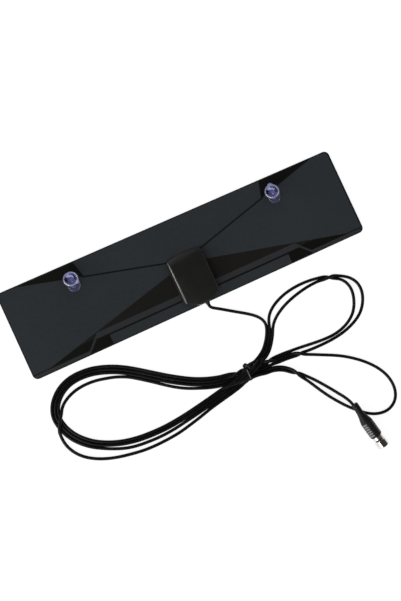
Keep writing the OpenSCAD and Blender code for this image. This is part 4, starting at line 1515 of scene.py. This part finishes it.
@dataclass
class ScrewPlug:
    """The screw plug on the lead's end: moulded grip, plated body, and a nut that turns freely."""

    start: tuple[float, float, float] = (87.1, -183.9, 6.1)
    turn: float = math.radians(11.4)
    grip_l: float = 38.5
    tail_at: float = 2.0
    aside: float = 0.45
    shell_r: float = 4.2
    shell_in: float = 11.0
    collar_r: float = 5.2
    collar_l: float = 3.5
    nut_back: float = 43.0
    nut_l: float = 7.5
    nut_af: float = 11.0
    nut_wall: float = 1.2
    nut_sides: int = 144
    neck_r: float = 3.5
    retainer_r: float = 4.3
    thread_r: float = 4.75
    pitch: float = 0.794
    thread_depth: float = 0.42
    rib_first: float = 24.95
    rib_pitch: float = 2.4
    rib_count: int = 5
    rib_depth: float = 0.45
    rings_at: tuple[float, ...] = (4.6, 6.8, 9.0, 11.2)
    ring_depth: float = 0.28
    insulator_r: float = 1.5
    sides: int = 96
    knots: tuple[Pair, ...] = ((2.0, 2.6), (2.4, 3.05), (3.4, 3.25), (7, 3.25), (11, 3.3),
                               (14, 3.6), (17, 4.35), (20, 5.25), (22.4, 5.8), (25, 6.0), (33, 6.0),
                               (36, 5.98), (37.6, 5.75), (38.3, 5.3), (38.5, 4.9))

    def along(self, grid: Array) -> Array:
        """Move a grid from the plug's frame, whose third axis is the plug's, to the table's.

        Args:
            grid: points in millimetres.
        Returns:
            The points in metres.
        """
        c, s = math.cos(self.turn), math.sin(self.turn)
        side, up, axis = np.array([c, s, 0.0]), np.array([0.0, 0.0, 1.0]), np.array([s, -c, 0.0])
        return (np.array(self.start) + grid[..., 0:1] * side + grid[..., 1:2] * up
                + grid[..., 2:3] * axis) * MM

    @staticmethod
    def grooves(s: Array, places: Array, width: float) -> Array:
        """Sum of flat bell curves, e to the minus fourth power of the distance over the width."""
        return np.exp(-((s[:, None] - places[None]) / width) ** 4).sum(axis=1)[:, None]

    def grip(self) -> bpy.types.Object:
        """The moulded grip.

        Its radius follows the knots and drops at each groove between the ribs, most on the two
        flanks, and at each ring of the tail, which lies a little aside where the lead comes in.

        Returns:
            The piece.
        """
        knots = np.array(self.knots)
        s = np.unique(np.concatenate([np.linspace(self.tail_at, self.grip_l, 260), knots[:, 0]]))
        curve = catmull(np.column_stack([knots, 0 * knots[:, 0]]), 0.1)
        r = np.interp(s, curve[:, 0], curve[:, 1])[:, None]
        cut = self.grooves(s, self.rib_first + self.rib_pitch * np.arange(self.rib_count), 0.3)
        tail = self.grooves(s, np.array(self.rings_at), 0.28)
        angle = turns(self.sides)
        flank = smooth((np.abs(np.cos(angle)) - 0.55) / 0.25)
        r = r - self.rib_depth * cut * (0.35 + 0.65 * flank[None]) - self.ring_depth * tail
        grid = rings(r, angle, s[:, None])
        grid[..., 0] += self.aside * (1 - smooth((s[:, None] - 5.0) / 12.0))
        tips = (self.along(np.array([self.aside, 0.0, self.tail_at])),
                self.along(np.array([0.0, 0.0, self.grip_l])))
        skin = Skin().add(self.along(grid), tips=tips, shares=s * MM)
        return finished(skin.build("plug_moulding"), GRIP, "moulding", "plug_grip")

    def body(self) -> bpy.types.Object:
        """The plated body: ringed collar, neck and the retainer that holds the nut.

        Its profile is a ring of radii and heights that turns round the plug's axis.

        Returns:
            The piece.
        """
        tail, g, end = self.grip_l - self.shell_in, self.grip_l, self.grip_l + self.collar_l
        back = self.nut_back + self.nut_wall + 0.2
        front = back + 0.8
        r, low = self.collar_r, self.collar_r - 0.35
        profile = rounded([(self.insulator_r, tail), (self.shell_r, tail), (self.shell_r, g),
                           (r - 0.3, g), (r, g + 0.3), (r, g + 1.1), (low, g + 1.35),
                           (low, g + 1.7), (r, g + 1.95), (r, end - 0.5), (r - 0.5, end),
                           (self.neck_r, end), (self.neck_r, back), (self.retainer_r, back),
                           (self.retainer_r, front), (self.insulator_r, front)], 0.12, 3)
        grid = self.along(rings(profile[:, 0:1], turns(self.sides), profile[:, 1:2]))
        skin = Skin().add(grid, loop_rows=True, shares=profile[:, 1])
        return finished(skin.build("plug_shell"), CHROME, "plug_metal", "plug_body")

    def nut(self) -> bpy.types.Object:
        """The coupling nut.

        Outside, the radius is the smaller of the hexagon's, half the width across flats over the
        cosine of the angle from its flat's middle, and the turned round's. Inside, the thread is a
        saw wave of the height less the turn, over its pitch.

        Returns:
            The piece.
        """
        angle = turns(self.nut_sides)
        back, front = self.nut_back, self.nut_back + self.nut_l
        stop = back + self.nut_wall
        hexagon = self.nut_af / 2 / np.cos(np.mod(angle, math.pi / 3) - math.pi / 6)
        r, bevel = self.nut_af / 2 / math.cos(math.pi / 6) - 0.35, 0.75
        turned = rounded([(3.65, back), (r - bevel, back), (r, back + bevel), (r, front - bevel),
                          (r - bevel, front), (self.thread_r + 0.1, front)], 0.2)
        fine = np.linspace(back + bevel + 0.01, front - bevel - 0.01, 20)
        outer = np.concatenate([turned[turned[:, 1] < back + bevel],
                                np.stack([np.full(20, r), fine], 1),
                                turned[turned[:, 1] > front - bevel]])
        out = np.minimum(outer[:, 0:1], hexagon[None, :] + 0.02)
        z = np.linspace(front, stop, 76)[:, None]
        phase = np.mod((z - back) / self.pitch - angle[None] / FULL_TURN, 1.0)
        fade = smooth((z - stop) / 0.5) * smooth((front - z) / 0.5)
        bore = self.thread_r - self.thread_depth * np.abs(2.0 * phase - 1.0) * fade
        mouth = self.neck_r + 0.1
        inner = rounded([(self.thread_r, stop), (mouth, stop), (mouth, back)], 0.1)[1:]
        wide = np.concatenate([out, bore, inner[:, 0:1] + 0.0 * angle])
        height = np.concatenate([outer[:, 1:2], z, inner[:, 1:2]])
        grid = rings(wide, angle, height)
        skin = Skin().add(self.along(grid), loop_rows=True, shares=np.full(len(grid), front))
        return finished(skin.build("screw_nut"), CHROME, "plug_metal", "coupling_nut",
                        body=Body.NUT)

    def build(self, nodes: dict[str, bpy.types.Object]) -> list[bpy.types.Object]:
        """Make the plug's pieces and dress the two nodes inside it.

        Args:
            nodes: the frame's nodes.
        Returns:
            All the pieces of the plug.
        """
        inside = [dress(nodes["plug_insulator"], INSULATOR), dress(nodes["centre_pin"], PIN)]
        return [self.grip(), self.body(), self.nut(), *inside]


@dataclass(frozen=True)
class Lamp:
    """One soft lamp that faces the object: its place in metres, its sides and its watts."""

    name: str
    place: Colour
    size: Pair
    power: float

    def build(self) -> None:
        """Hang it, its width level."""
        data = bpy.data.lights.new(self.name, "AREA")
        data.shape = "RECTANGLE"
        data.size, data.size_y = self.size
        data.energy = self.power
        back = unit(np.array(self.place, float))
        side = unit(np.cross(np.array([0.0, 0.0, 1.0]), back))
        axes = Matrix([side, np.cross(back, side), back]).transposed().to_4x4()
        add_object(self.name, data).matrix_world = Matrix.Translation(self.place) @ axes


@dataclass
class Studio:
    """The table, the lamps, the world and the camera at the photograph's view."""

    focal: float = 1000.0
    long_side: float = 601.0
    sensor: float = 36.0
    eye: tuple[float, float, float] = (-0.16585, -0.06384, 0.91277)
    right: Colour = (0.8958, -0.4187, 0.1490)
    up: Colour = (0.4078, 0.9077, 0.0986)
    back: Colour = (-0.1765, -0.0275, 0.9839)
    floor_half: float = 12.0
    table: Colour = (0.8, 0.8, 0.8)
    shadow: Colour = (0.24, 0.24, 0.24)
    glow: float = 0.86
    white: Colour = (1.0, 1.0, 1.0)
    dim_right: Colour = (0.4, 0.4, 0.41)
    ceiling: Colour = (0.05, 0.039, 0.03)
    soft: Colour = (0.6, 0.6, 0.61)
    lamps: tuple[Lamp, ...] = (Lamp("front_left", (-0.86, -0.70, 0.72), (0.62, 0.5), 6.5),
                               Lamp("left_strip", (-1.85, 0.03, 0.58), (1.6, 0.36), 15.0))

    def camera(self) -> None:
        """Set the camera by its three axes and its place."""
        data = bpy.data.cameras.new("camera")
        data.sensor_width = self.sensor
        data.lens = self.focal / self.long_side * self.sensor
        data.clip_start = 0.01
        eye = add_object("camera", data)
        axes = Matrix((self.right, self.up, self.back)).transposed().normalized().to_4x4()
        eye.matrix_world = Matrix.Translation(self.eye) @ axes
        bpy.context.scene.camera = eye

    def floor(self) -> None:
        """A white table; where it is seen, also in a mirror or through glass, it glows a little."""
        h = self.floor_half
        mesh = bpy.data.meshes.new("table_top")
        mesh.from_pydata([(-h, -h, 0), (h, -h, 0), (h, h, 0), (-h, h, 0)], [], [(0, 1, 2, 3)])
        b = Bench("table_white")
        path = b.node("ShaderNodeLightPath").outputs
        rays = [Value(b, path[f"Is {name} Ray"]) for name in ("Camera", "Glossy", "Transmission")]
        seen = (rays[0] + rays[1] + rays[2]).math("MINIMUM", 1.0)
        plain = b.node("ShaderNodeBsdfDiffuse", None, {"Color": self.table})
        lit = b.node("ShaderNodeBsdfDiffuse", None, {"Color": self.shadow})
        glow = b.node("ShaderNodeEmission", None, {"Color": self.white, "Strength": self.glow})
        both = b.node("ShaderNodeAddShader", None, {0: lit.outputs[0], 1: glow.outputs[0]})
        mesh.materials.append(b.close(b.mixed(seen, plain, both)))
        add_object("table_top", mesh)

    def world(self) -> None:
        """White to the eye, and a soft even light with a dimmer ceiling for what mirrors it."""
        world = bpy.data.worlds.new("studio")
        bpy.context.scene.world = world
        world.use_nodes = True
        b = Bench("studio", world.node_tree)
        path = b.node("ShaderNodeLightPath").outputs
        side, _, height = b.axes("Generated")
        right = b.mix(side.ease(-0.2, 0.7), self.white, self.dim_right)
        mirrored = b.mix(height.ease(0.12, 0.6), right, self.ceiling)
        soft = b.mix(Value(b, path["Is Diffuse Ray"]), mirrored, self.soft)
        seen = b.mix(Value(b, path["Is Camera Ray"]), soft, self.white)
        b.close(b.node("ShaderNodeBackground", None, {"Color": seen, "Strength": 1.0}), "World")

    def build(self) -> None:
        """Set up everything that isn't the object."""
        self.camera()
        self.floor()
        self.world()
        for lamp in self.lamps:
            lamp.build()
        bpy.context.scene.view_settings.view_transform = "Standard"
        log.info("studio ready")


def main() -> None:
    """Build the antenna's pieces in order, then the studio."""
    logging.basicConfig(level=logging.INFO, format="%(name)s: %(message)s")
    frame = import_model()
    nodes = frame["nodes"]
    Panel(nodes).build()
    Housing(nodes).build()
    SuctionCup(-1, (-0.8, 5.5), -48.0, tab_reach=1.1).build()
    SuctionCup(1, (-2.2, 4.7), 80.0).build()
    binding = Tie()
    lead, path = Lead(binding).build()
    tie = binding.build()
    plug = ScrewPlug().build(nodes)
    Studio().build()


if __name__ == "__main__":
    main()
